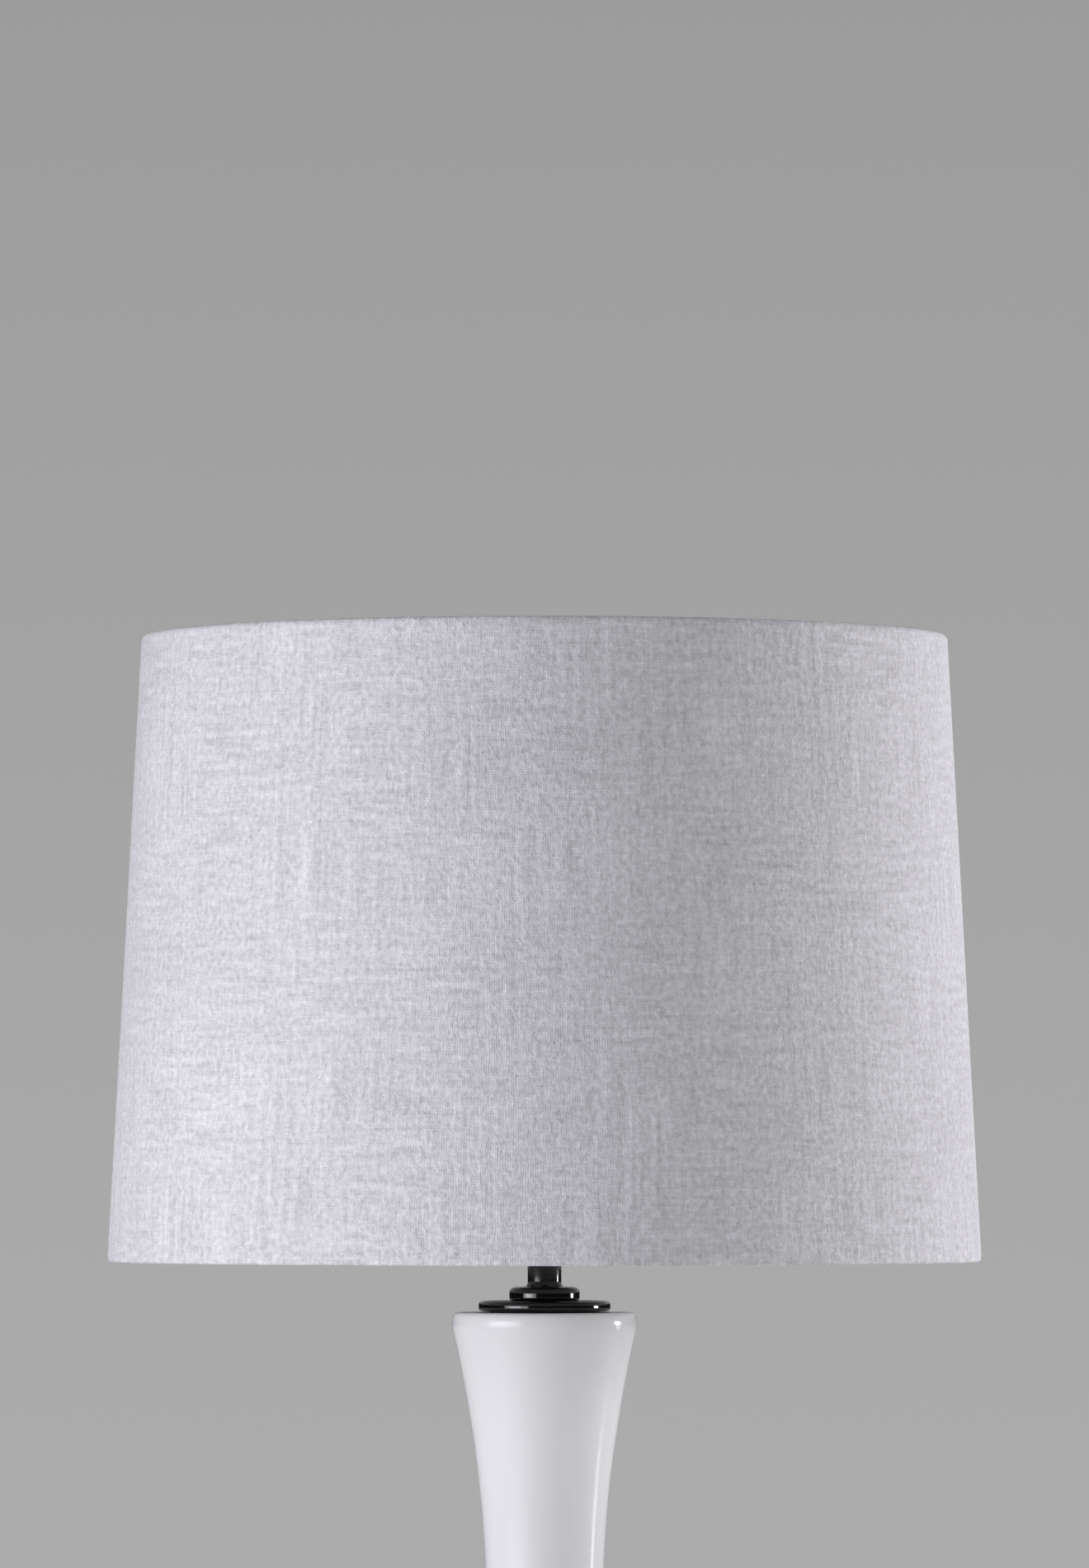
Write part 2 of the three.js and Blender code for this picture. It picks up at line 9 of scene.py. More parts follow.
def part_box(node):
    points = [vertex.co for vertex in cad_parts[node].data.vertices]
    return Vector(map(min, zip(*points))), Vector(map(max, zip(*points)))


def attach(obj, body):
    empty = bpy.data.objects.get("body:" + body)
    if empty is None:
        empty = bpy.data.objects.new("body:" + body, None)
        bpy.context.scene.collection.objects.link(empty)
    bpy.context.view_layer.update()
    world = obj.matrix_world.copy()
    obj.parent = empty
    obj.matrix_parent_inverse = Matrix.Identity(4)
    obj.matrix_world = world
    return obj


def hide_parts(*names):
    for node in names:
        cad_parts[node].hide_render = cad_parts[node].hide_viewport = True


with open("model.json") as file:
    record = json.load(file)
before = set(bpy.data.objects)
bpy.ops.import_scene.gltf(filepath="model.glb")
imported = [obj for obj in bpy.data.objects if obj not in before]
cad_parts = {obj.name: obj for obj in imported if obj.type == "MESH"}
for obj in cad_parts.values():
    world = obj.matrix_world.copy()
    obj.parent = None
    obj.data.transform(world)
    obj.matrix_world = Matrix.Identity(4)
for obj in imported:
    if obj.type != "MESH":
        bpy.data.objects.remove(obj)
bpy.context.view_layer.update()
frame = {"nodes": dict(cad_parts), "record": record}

MM = 0.001
TAU = 2 * math.pi
NODES = frame["nodes"]
ROD_HOLE = 5.2 * MM  # radius of the hole in the pieces that the threaded rod runs through
BULB_PITCH = 3.63 * MM
FINIAL_PITCH = 25.4 * MM / 27


def link(obj):
    bpy.context.scene.collection.objects.link(obj)


# ------------ places taken from the frame
class Span:
    """Where a node that is turned about the lamp's axis is: its lowest and highest point, and its radius."""

    def __init__(self, node):
        low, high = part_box(node)
        self.low, self.high, self.radius = low[2], high[2], high[0]
        self.height = self.high - self.low


def shaft_height():
    low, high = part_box("switch_shaft")
    return (low[2] + high[2]) / 2


# ------------ camera and lights
EYE = Vector((0, -5.15, 0.4888))
TILT_UP = math.radians(2.05)
LENS_MM = 240
SENSOR_MM = 36
LIT_HEIGHT = 0.43


def make_camera():
    data = bpy.data.cameras.new("camera")
    data.lens = LENS_MM
    data.sensor_width = SENSOR_MM
    data.clip_end = 100
    camera = bpy.data.objects.new("camera", data)
    camera.location = EYE
    camera.rotation_euler = (math.pi / 2 + TILT_UP, 0, 0)
    link(camera)
    bpy.context.scene.camera = camera


def soft_light(name, azimuth, height, size, power, color, distance=1.8, mirrored=True):
    """A softbox aimed at the lamp. Azimuth 0 is in front of the lamp, and 90 is to its right.

    One that isn't mirrored lights the lamp but doesn't show in its glossy surfaces.
    """
    data = bpy.data.lights.new(name, "AREA")
    data.shape = "RECTANGLE"
    data.size, data.size_y = size
    data.energy = power
    data.color = color
    light = bpy.data.objects.new(name, data)
    a = math.radians(azimuth)
    light.location = (distance * math.sin(a), -distance * math.cos(a), height)
    to_lamp = Vector((0, 0, LIT_HEIGHT)) - light.location
    light.rotation_euler = to_lamp.to_track_quat("-Z", "Y").to_euler()
    light.visible_camera = False
    light.visible_glossy = mirrored
    link(light)


def make_lights():
    lilac, white = (1.0, 0.995, 1.065), (1.0, 0.985, 1.03)
    soft_light("key_left", -51, 0.68, (1.5, 1.1), 17.0, lilac)
    soft_light("low_left", -53, 0.25, (1.2, 0.45), 13.3, lilac, mirrored=False)
    soft_light("glint_left", -53, 0.40, (0.7, 0.2), 2.2, lilac)
    soft_light("side_right", 90, 0.74, (1.3, 0.8), 25.5, white, mirrored=False)
    soft_light("glint_right", 102, 0.40, (0.3, 0.2), 5.0, white)
    soft_light("strip_right", 104, 0.20, (0.2, 0.4), 1.3, white)
    soft_light("overhead", 0, 2.6, (1.6, 1.6), 12, white, distance=0.4, mirrored=False)
    soft_light("back", 180, 1.5, (1.8, 1.2), 28, white, distance=2.6)


def make_world():
    """A grey backdrop for the camera, a little darker above, and a faint even light on the lamp."""
    lit_strength = 0.02
    horizon, above = (-0.03, 0.41), (0.11, 0.333)  # how far up it is seen, and how bright it is there
    world = bpy.data.worlds.new("studio")
    world.use_nodes = True
    tree = world.node_tree
    tree.nodes.clear()
    join = tree.links.new

    def node(kind):
        return tree.nodes.new("ShaderNode" + kind)

    out = node("OutputWorld")
    seen = node("Background")
    seen.inputs["Color"].default_value = (1, 1, 1, 1)
    light = node("Background")
    light.inputs["Color"].default_value = (0.93, 0.93, 0.94, 1)
    light.inputs["Strength"].default_value = lit_strength
    mix = node("MixShader")
    path = node("LightPath")
    place = node("TexCoord")
    split = node("SeparateXYZ")
    fade = node("MapRange")
    fade.inputs["From Min"].default_value, fade.inputs["To Min"].default_value = horizon
    fade.inputs["From Max"].default_value, fade.inputs["To Max"].default_value = above
    join(place.outputs["Generated"], split.inputs[0])
    join(split.outputs["Z"], fade.inputs["Value"])
    join(fade.outputs[0], seen.inputs["Strength"])
    join(path.outputs["Is Camera Ray"], mix.inputs["Fac"])
    join(light.outputs[0], mix.inputs[1])
    join(seen.outputs[0], mix.inputs[2])
    join(mix.outputs[0], out.inputs["Surface"])
    bpy.context.scene.world = world


# ------------ materials
class Paint:
    """A procedural material on a Principled shader, with short calls for the nodes that it uses."""

    def __init__(self, name, color, roughness, **sockets):
        self.material = bpy.data.materials.new(name)
        self.material.use_nodes = True
        self.tree = self.material.node_tree
        self.shader = next(n for n in self.tree.nodes if n.type == "BSDF_PRINCIPLED")
        self.shader.inputs["Base Color"].default_value = (*color, 1)
        self.shader.inputs["Roughness"].default_value = roughness
        for socket, value in sockets.items():
            self.shader.inputs[socket.replace("_", " ")].default_value = value

    def node(self, kind, **settings):
        made = self.tree.nodes.new("ShaderNode" + kind)
        for name, value in settings.items():
            setattr(made, name, value)
        return made

    def plug(self, value, socket):
        """Gives a socket a number, a colour or another node's output."""
        if isinstance(value, bpy.types.NodeSocket):
            self.tree.links.new(value, socket)
        elif isinstance(value, tuple) and len(value) == 3 and socket.type == "RGBA":
            socket.default_value = (*value, 1)
        else:
            socket.default_value = value

    def math(self, operation, *values):
        made = self.node("Math", operation=operation)
        for value, socket in zip(values, made.inputs):
            self.plug(value, socket)
        return made.outputs[0]

    def place(self):
        return self.node("TexCoord").outputs["Object"]

    def split(self, place):
        made = self.node("SeparateXYZ")
        self.plug(place, made.inputs[0])
        return made.outputs[0], made.outputs[1], made.outputs[2]

    def from_axis(self, x, y):
        """How far a place is from the lamp's axis."""
        return self.math("SQRT", self.math("MULTIPLY_ADD", x, x, self.math("MULTIPLY", y, y)))

    def vector(self, x, y, z=0.0):
        made = self.node("CombineXYZ")
        for value, socket in zip((x, y, z), made.inputs):
            self.plug(value, socket)
        return made.outputs[0]

    def noise(self, scale, detail=3.0, roughness=0.5, at=None):
        made = self.node("TexNoise")
        self.plug(at or self.place(), made.inputs["Vector"])
        self.plug(float(scale), made.inputs["Scale"])
        self.plug(float(detail), made.inputs["Detail"])
        self.plug(float(roughness), made.inputs["Roughness"])
        return made.outputs[0]

    def spread(self, value, low, high, to_low=0.0, to_high=1.0):
        """A value between low and high, stretched to another range and held inside it."""
        made = self.node("MapRange")
        for number, socket in zip((value, low, high, to_low, to_high), made.inputs):
            self.plug(number, socket)
        return made.outputs[0]

    def blend(self, first, second, amount):
        """A number between two others."""
        made = self.node("Mix", data_type="FLOAT")
        self.plug(amount, made.inputs[0])
        self.plug(first, made.inputs[2])
        self.plug(second, made.inputs[3])
        return made.outputs[0]

    def vary(self, first, second, amount):
        """A colour between two others."""
        made = self.node("Mix", data_type="RGBA")
        self.plug(amount, made.inputs[0])
        self.plug(first, made.inputs[6])
        self.plug(second, made.inputs[7])
        return made.outputs[2]

    def color(self, value):
        self.plug(value, self.shader.inputs["Base Color"])

    def roughness(self, value):
        self.plug(value, self.shader.inputs["Roughness"])

    def bump(self, height, distance):
        made = self.node("Bump")
        made.inputs["Strength"].default_value = 1.0
        made.inputs["Distance"].default_value = distance
        self.plug(height, made.inputs["Height"])
        self.plug(made.outputs[0], self.shader.inputs["Normal"])


def linen_paint():
    """Slub linen in plain weave: each thread has its own tone, thick and thin parts and a slight wander."""
    paint = Paint("linen_weave", (0.60, 0.597, 0.605), 0.95, Sheen_Weight=0.1, Sheen_Roughness=0.5)
    pitch, wander = 1.15 * MM, 2 * MM
    darkest, lightest = (0.345, 0.34, 0.351), (0.745, 0.736, 0.76)
    u, v, _ = paint.split(paint.node("UVMap", uv_map="cloth").outputs[0])  # metres along and across it

    def thread_count(place, seed):
        """How many threads along the cloth a place is, with the fraction showing the place on its thread."""
        drift = paint.noise(60.0, 2, 0.5, at=paint.vector(u, v, seed))
        return paint.math("DIVIDE", paint.math("MULTIPLY_ADD", drift, wander, place), pitch)

    x, y = thread_count(u, 0.0), thread_count(v, 5.0)
    warp, weft = paint.math("FLOOR", x), paint.math("FLOOR", y)

    def thread_height(across, along, thread, side):
        """How high a thread stands: round across, and over and under the threads that cross it."""
        crown = paint.math("SINE", paint.math("MULTIPLY", paint.math("FRACT", across), math.pi))
        turn = paint.math("SINE", paint.math("MULTIPLY", paint.math("ADD", along, thread), math.pi))
        wave = paint.math("MULTIPLY", crown, turn)
        return paint.math("MULTIPLY_ADD", wave, 0.4 * side, paint.math("MULTIPLY", crown, 0.6))

    warp_height = thread_height(x, y, warp, 1)
    weft_height = thread_height(y, x, weft, -1)
    height = paint.math("MAXIMUM", warp_height, weft_height)
    warp_shows = paint.spread(paint.math("SUBTRACT", warp_height, weft_height), -0.12, 0.12)

    def thread_tone(thread, along, seed):
        """Tone along each thread: dyed unevenly, with slubs 4 to 20 mm long."""
        length = paint.math("MULTIPLY", along, 0.11)
        return paint.noise(1.0, 3, 0.6, at=paint.vector(paint.math("MULTIPLY", thread, 1.37), length, seed))

    def streaks(x_scale, y_scale, seed, roughness=0.5):
        """Noise over the threads. The smaller a scale, the longer the streaks that way."""
        at = paint.vector(paint.math("MULTIPLY", x, x_scale), paint.math("MULTIPLY", y, y_scale), seed)
        return paint.noise(1.0, 2, roughness, at=at)

    tone = paint.blend(thread_tone(weft, x, 3.0), thread_tone(warp, y, 8.0), warp_shows)
    grain = streaks(0.42, 0.34, 3.0, roughness=0.6)
    warp_bars = paint.math("SUBTRACT", streaks(0.3, 0.02, 6.0), 0.5)
    weft_bars = paint.math("SUBTRACT", streaks(0.03, 0.3, 9.0), 0.5)
    weft_patch = paint.spread(paint.noise(18.0, 1, 0.5, at=paint.vector(u, v, 2.0)), 0.35, 0.65)
    cloud = paint.noise(9.0, 2, 0.5, at=paint.vector(u, v, 4.0))
    nep = paint.noise(0.5, 0, 0.5, at=paint.vector(x, y, 12.0))

    # The colour is darker where the threads stand low, in the gaps between them: painted shade between the
    # threads.
    shadow = paint.math("SUBTRACT", paint.spread(height, 0.1, 0.7), 0.7)
    light = paint.math("MULTIPLY", shadow, 0.2)
    for part, weight in ((tone, 1.1), (grain, 1.45), (cloud, 0.3)):
        light = paint.math("MULTIPLY_ADD", paint.math("SUBTRACT", part, 0.5), weight, light)
    light = paint.math("MULTIPLY_ADD", paint.blend(warp_bars, weft_bars, weft_patch), 1.1, light)
    light = paint.math("MULTIPLY_ADD", paint.spread(nep, 0.84, 0.9), 0.6, light)
    light = paint.math("MULTIPLY_ADD", paint.spread(nep, 0.16, 0.1), -0.6, light)
    paint.color(paint.vary(darkest, lightest, paint.spread(light, -0.7, 0.7)))
    slubs = paint.math("MULTIPLY_ADD", height, 0.25, paint.math("ADD", tone, grain))
    paint.bump(slubs, 0.55 * MM)
    return paint.material


def glaze_paint():
    """White glaze: glassy, a little wavy, with slight changes of tone and gloss."""
    paint = Paint("white_glaze", (0.645, 0.64, 0.645), 0.16, Specular_IOR_Level=0.5)
    paint.color(paint.vary((0.63, 0.625, 0.627), (0.66, 0.655, 0.658), paint.noise(9, 3)))
    paint.roughness(paint.spread(paint.noise(35, 3), 0.3, 0.7, 0.12, 0.22))
    paint.bump(paint.noise(28, 1), 0.25 * MM)
    return paint.material


def black_paint():
    """Black enamel on metal, with faint orange peel."""
    paint = Paint("black_enamel", (0.002, 0.002, 0.0025), 0.12, Coat_Weight=0.3, Coat_Roughness=0.08)
    paint.color(paint.vary((0.001, 0.001, 0.0014), (0.003, 0.003, 0.0034), paint.noise(60, 2)))
    paint.roughness(paint.spread(paint.noise(240, 3), 0.3, 0.7, 0.08, 0.14))
    paint.bump(paint.noise(700, 2), 0.02 * MM)
    return paint.material


def metal_paint(name, dark, light, roughness, grain=900):
    """Bare metal, with fine turned or drawn lines round its axis and a few darker stains."""
    paint = Paint(name, light, roughness, Metallic=1.0)
    x, y, z = paint.split(paint.place())
    out, up = paint.math("MULTIPLY", paint.from_axis(x, y), grain), paint.math("MULTIPLY", z, grain)
    lines = paint.noise(1.0, 2, 0.6, at=paint.vector(out, up))
    stains = paint.noise(45, 4, 0.6)
    paint.color(paint.vary(dark, light, paint.spread(stains, 0.3, 0.62)))
    paint.roughness(paint.spread(lines, 0.3, 0.7, roughness * 0.75, roughness * 1.35))
    paint.bump(lines, 0.012 * MM)
    return paint.material


def moulded_paint(name, dark, light, roughness, grain=900, depth=0.02, **sockets):
    """Moulded or pressed material with a fine surface grain and slight changes of tone."""
    paint = Paint(name, light, roughness, **sockets)
    paint.color(paint.vary(dark, light, paint.spread(paint.noise(40, 3), 0.3, 0.7)))
    dullest = min(1.0, roughness * 1.15)
    paint.roughness(paint.spread(paint.noise(120, 3), 0.3, 0.7, roughness * 0.85, dullest))
    paint.bump(paint.noise(grain, 2), depth * MM)
    return paint.material


def opal_paint():
    """Milky plastic that lets a little light into it."""
    dark, light = (0.88, 0.875, 0.85), (0.93, 0.925, 0.905)
    soft = {"Subsurface_Weight": 0.15, "Subsurface_Scale": 0.004}
    return moulded_paint("opal_plastic", dark, light, 0.35, 500, 0.008, **soft)


def felt_paint():
    """Pressed felt: short fibres lying every way."""
    paint = Paint("felt_fibres", (0.02, 0.02, 0.022), 1.0, Sheen_Weight=0.35, Sheen_Roughness=0.6)
    fibres = paint.noise(900, 4, 0.7)
    clumps = paint.noise(160, 3, 0.6)
    tufts = paint.math("MULTIPLY", fibres, clumps)
    paint.color(paint.vary((0.010, 0.010, 0.011), (0.045, 0.045, 0.048), tufts))
    paint.bump(paint.math("ADD", fibres, clumps), 0.3 * MM)
    return paint.material


def make_paints():
    liner_dark, liner_light = (0.80, 0.795, 0.775), (0.86, 0.86, 0.84)
    return {
        "linen": linen_paint(),
        "white_glaze": glaze_paint(),
        "black_metal": black_paint(),
        "felt": felt_paint(),
        "steel": metal_paint("brushed_steel", (0.40, 0.40, 0.41), (0.60, 0.61, 0.62), 0.34),
        "brass": metal_paint("brass", (0.42, 0.28, 0.11), (0.70, 0.50, 0.22), 0.28),
        "aluminium": metal_paint("aluminium", (0.60, 0.61, 0.62), (0.76, 0.77, 0.78), 0.3),
        "cast_iron": moulded_paint("cast_iron", (0.03, 0.03, 0.032), (0.08, 0.08, 0.085), 0.75, 500, 0.15),
        "shade_liner": moulded_paint("styrene_liner", liner_dark, liner_light, 0.5, 300, 0.03),
        "black_plastic": moulded_paint("phenolic_black", (0.009, 0.009, 0.010), (0.018, 0.018, 0.019), 0.38),
        "fibre": moulded_paint("vulcan_fibre", (0.24, 0.19, 0.13), (0.38, 0.31, 0.22), 0.85, 400, 0.06),
        "rubber": moulded_paint("rubber", (0.014, 0.014, 0.014), (0.028, 0.028, 0.028), 0.8, 500, 0.04),
        "opal_plastic": opal_paint(),
        "circuit_board": moulded_paint("circuit_board", (0.015, 0.07, 0.03), (0.03, 0.12, 0.055), 0.4),
    }


# ------------ floor
def make_floor():
    """A round pale floor. Away from the lamp its paint darkens and a glow takes over, so it stays even."""
    radius, sides = 5, 96
    fade_start, fade_end, glow = 0.35, 1.5, 0.42
    mesh = bpy.data.meshes.new("floor")
    rim = [(radius * math.cos(i * TAU / sides), radius * math.sin(i * TAU / sides), 0) for i in range(sides)]
    mesh.from_pydata(rim, [], [tuple(range(sides))])
    floor = bpy.data.objects.new("floor", mesh)
    link(floor)
    paint = Paint("floor_paint", (0.78, 0.78, 0.785), roughness=0.7, Emission_Color=(1, 1, 1, 1))
    x, y, _ = paint.split(paint.place())
    far = paint.spread(paint.from_axis(x, y), fade_start, fade_end)
    near_color = paint.vary((0.77, 0.77, 0.775), (0.80, 0.80, 0.805), paint.noise(3, 3))
    paint.color(paint.vary(near_color, (0.06, 0.06, 0.06), far))
    paint.plug(paint.math("MULTIPLY", far, glow), paint.shader.inputs["Emission Strength"])
    floor.data.materials.append(paint.material)


# ------------ outlines
def filleted(corners, steps=4):
    """A closed outline of (x, y, fillet) corners. The fillets are in mm and are drawn as short curves."""
    out = []
    for i, (x, y, fillet) in enumerate(corners):
        here = Vector((x, y))
        if not fillet:
            out.append(here)
            continue
        ends = []
        for near in (corners[i - 1], corners[(i + 1) % len(corners)]):
            side = Vector(near[:2]) - here
            ends.append(here + side.normalized() * min(fillet * MM, side.length * 0.49))
        for k in range(steps + 1):
            t = k / steps
            out.append(ends[0] * (1 - t) ** 2 + here * (2 * t * (1 - t)) + ends[1] * t**2)
    return [tuple(p) for p in out]


def band(inner, outer, low, high, fillets, steps=4):
    """The section of a disc or ring. Its fillets run from the inner bottom corner to the inner top one."""
    corners = ((inner, low), (outer, low), (outer, high), (inner, high))
    return filleted([(*corner, fillet) for corner, fillet in zip(corners, fillets)], steps)


def in_mm(points, low=0.0):
    """An outline given in mm, with its heights above low."""
    return [(x * MM, low + z * MM) for x, z in points]


def both_sides(half):
    """A closed outline of (x, y, fillet) corners from those of its right half, mirrored in x."""
    return half + [(-x, y, fillet) for x, y, fillet in reversed(half)]


def bend(a, b, c, d, steps):
    """Points on a cubic curve, without its first one."""
    a, b, c, d = (Vector(p) for p in (a, b, c, d))
    out = []
    for i in range(1, steps + 1):
        t = i / steps
        s = 1 - t
        out.append(tuple(a * s**3 + b * (3 * s * s * t) + c * (3 * s * t * t) + d * t**3))
    return out


def arc(x, y, radius, start, end, steps):
    """Points on a circle, in degrees."""
    out = []
    for i in range(steps + 1):
        a = math.radians(start + (end - start) * i / steps)
        out.append((x + radius * math.cos(a), y + radius * math.sin(a)))
    return out


# ------------ meshes
def add_piece(name, mesh, slot, node, body="lamp", smooth=40):
    """Puts a mesh in the scene as a piece that rides on a body and stands for one node."""
    mesh.shade_smooth()
    mesh.set_sharp_from_angle(angle=math.radians(smooth))
    obj = bpy.data.objects.new(name, mesh)
    link(obj)
    mesh.materials.append(PAINTS[slot])
    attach(obj, body)
    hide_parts(node)
    return obj


def skin(name, loops, ring=True):
    """A mesh over closed loops of points, one after another. The last loop joins the first if ring."""
    mesh = bpy.data.meshes.new(name)
    build = bmesh.new()
    rows = []
    for loop in loops:
        single = all((Vector(p) - Vector(loop[0])).length < 1e-9 for p in loop)
        rows.append([build.verts.new(p) for p in (loop[:1] if single else loop)])
    count = len(rows)
    for i in range(count if ring else count - 1):
        a, b = rows[i], rows[(i + 1) % count]
        n = max(len(a), len(b))
        for k in range(n):
            j = (k + 1) % n
            corners = [a[k % len(a)], a[j % len(a)], b[j % len(b)], b[k % len(b)]]
            unique = list(dict.fromkeys(corners))
            if len(unique) > 2:
                build.faces.new(unique)
    if not ring:
        for row in (rows[0], rows[-1]):
            if len(row) > 2:
                build.faces.new(row)
    bmesh.ops.recalc_face_normals(build, faces=build.faces)
    build.to_mesh(mesh)
    build.free()
    return mesh


def turned(name, profile, segments, ripple=None):
    """A mesh turned about the lamp's axis from a closed profile of (radius, height) points."""

    def loop(r, z):
        out = []
        for i in range(segments):
            a = i * TAU / segments
            reach = ripple(r, z, a) if ripple else r
            out.append((reach * math.cos(a), reach * math.sin(a), z))
        return out

    on_axis = profile[0][0] == 0 and profile[-1][0] == 0
    return skin(name, [loop(r, z) for r, z in profile], ring=not on_axis)


def add_turned(name, profile, segments, slot, node, body="lamp", ripple=None, smooth=40):
    """Adds a turned piece."""
    add_piece(name, turned(name, profile, segments, ripple), slot, node, body, smooth)


def tube(name, path, radius, sides, ring=False):
    """A round wire along a path, closed if ring, or else with the rims of its two ends taken off."""
    path = [Vector(p) for p in path]
    turns = [k * TAU / sides for k in range(sides)]
    end_radius, end_length = radius * 0.72, radius * 0.3
    count = len(path)
    loops = []
    up = None
    for i, p in enumerate(path):
        ahead = path[(i + 1) % count] if ring or i < count - 1 else p
        behind = path[i - 1] if ring or i else p
        along = (ahead - behind).normalized()
        if up is None:
            up = along.orthogonal().normalized()
        up = (up - along * up.dot(along)).normalized()
        across = along.cross(up)
        around = [up * math.cos(a) + across * math.sin(a) for a in turns]
        if ring or 0 < i < count - 1:
            loops.append([p + way * radius for way in around])
            continue
        face = [p + way * end_radius for way in around]
        if i == 0:
            loops += [face, [p + along * end_length + way * radius for way in around]]
        else:
            loops += [[p - along * end_length + way * radius for way in around], face]
    return skin(name, loops, ring=ring)


def prism(name, outline, low, high, axis, edge):
    """An outline of (x, y) points pulled from low to high along an axis, with small bevelled edges."""
    sharp = 0.6
    mesh = bpy.data.meshes.new(name)
    build = bmesh.new()
    turn = {
        "X": lambda p, t: (t, p[0], p[1]),
        "Y": lambda p, t: (p[0], t, p[1]),
        "Z": lambda p, t: (p[0], p[1], t),
    }[axis]
    bottom = [build.verts.new(turn(p, low)) for p in outline]
    top = [build.verts.new(turn(p, high)) for p in outline]
    build.faces.new(bottom)
    build.faces.new(top)
    for i in range(len(outline)):
        j = (i + 1) % len(outline)
        build.faces.new((bottom[i], bottom[j], top[j], top[i]))
    bmesh.ops.recalc_face_normals(build, faces=build.faces)
    rims = [e for e in build.edges if e.calc_face_angle(0) > sharp]
    bmesh.ops.bevel(build, geom=rims, offset=edge, segments=2, affect="EDGES", profile=0.6)
    build.to_mesh(mesh)
    build.free()
    return mesh


def combined(mesh, tool_mesh, operation):
    """Two solid meshes joined (UNION), or the second cut from the first (DIFFERENCE)."""
    work = bpy.data.objects.new("work", mesh)
    tool = bpy.data.objects.new("tool", tool_mesh)
    link(work)
    link(tool)
    modifier = work.modifiers.new("combine", "BOOLEAN")
    modifier.object, modifier.operation, modifier.solver = tool, operation, "EXACT"
    made = bpy.data.meshes.new_from_object(work.evaluated_get(bpy.context.evaluated_depsgraph_get()))
    made.name = mesh.name
    bpy.data.objects.remove(work)
    bpy.data.objects.remove(tool)
    return made


def drilled(mesh, low, high):
    """The mesh with the rod's hole cut in it from one height to another."""
    tool = turned("hole", [(0, low), (ROD_HOLE, low), (ROD_HOLE, high), (0, high)], 48)
    return combined(mesh, tool, "DIFFERENCE")


def thread_wave(low, high, pitch, depth, radius, rounded=False):
    """A ripple that cuts a right-hand thread into the stretch of one radius between low and high."""
    run_out = 0.8 * pitch

    def ripple(r, z, a):
        if abs(r - radius) > 1e-6 or not low <= z <= high:
            return r
        turn = ((z - low) / pitch - a / TAU) % 1
        wave = 0.5 - 0.5 * math.cos(turn * TAU) if rounded else abs(2 * turn - 1)
        fade = min(1.0, (z - low) / run_out, (high - z) / run_out)
        return r - depth * wave * max(0.0, fade)

    return ripple


def keep_nodes(nodes):
    """Hidden inner nodes whose shape is right: they get their material and softened edges."""
    slots = {row["node"]: row["material_slot"] for row in frame["record"]["subparts"]}
    for node in nodes:
        obj = NODES[node]
        obj.data.materials.clear()
        obj.data.materials.append(PAINTS[slots[node]])
        bevel = obj.modifiers.new("edges", "BEVEL")
        bevel.width = 0.15 * MM
        bevel.segments = 2
        bevel.limit_method = "ANGLE"
        bevel.angle_limit = math.radians(50)


# ------------ base
def build_base():
    felt = Span("base_felt")

    def frayed(r, z, a):
        """The pad's cut edge is a little uneven."""
        if r <= 0.9 * felt.radius:
            return r
        return r + 0.25 * MM * math.sin(37 * a + 400 * z) * math.sin(11 * a)

    profile = band(0, felt.radius, felt.low, felt.high, (0, 0.5, 0.5, 0))
    add_turned("felt_pad", profile, 192, "felt", "base_felt", ripple=frayed)

    plate = Span("base_plate")
    hollow, wall, inlet = 68 * MM, 4 * MM, 4.6 * MM
    inside = plate.high - wall
    pan = filleted([
        (hollow, plate.low, 0.4),
        (plate.radius, plate.low, 1.2),
        (plate.radius, plate.high, 4.5),
        (ROD_HOLE, plate.high, 0.3),
        (ROD_HOLE, inside, 0.3),
        (hollow, inside, 2),
    ], 8)
    low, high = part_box("cord_bushing")
    inlet_z = (low[2] + high[2]) / 2
    bore = [(0, plate.radius - 25 * MM, inlet_z), (0, plate.radius + 9 * MM, inlet_z)]
    shell = combined(turned("base_shell", pan, 192), tube("inlet_tool", bore, inlet, 48), "DIFFERENCE")
    add_piece("base_shell", shell, "black_metal", "base_plate", smooth=35)

    start, flange, end = low[1], high[1] - 2 * MM, high[1]
    grommet = filleted([
        (3.4 * MM, start, 0.4),
        (4.3 * MM, start, 0.4),
        (4.3 * MM, flange, 0.2),
        (6.0 * MM, flange, 0.4),
        (6.0 * MM, end, 1.2),
        (3.4 * MM, end, 0.8),
    ], 5)
    mesh = turned("inlet_grommet", grommet, 48)
    mesh.transform(Matrix.Rotation(math.radians(-90), 4, "X"))
    mesh.transform(Matrix.Translation((0, 0, inlet_z)))
    add_piece("inlet_grommet", mesh, "black_plastic", "cord_bushing")

    step = Span("plinth_disc")
    profile = band(ROD_HOLE, step.radius, step.low, step.high, (0.3, 0.6, 2.6, 0.3), 8)
    add_turned("plinth", profile, 192, "black_metal", "plinth_disc")
    gasket = Span("foot_gasket")
    profile = band(51 * MM, gasket.radius, gasket.low, gasket.high, (0.2, 0.3, 0.3, 0.2))
    add_turned("foot_ring", profile, 160, "rubber", "foot_gasket")


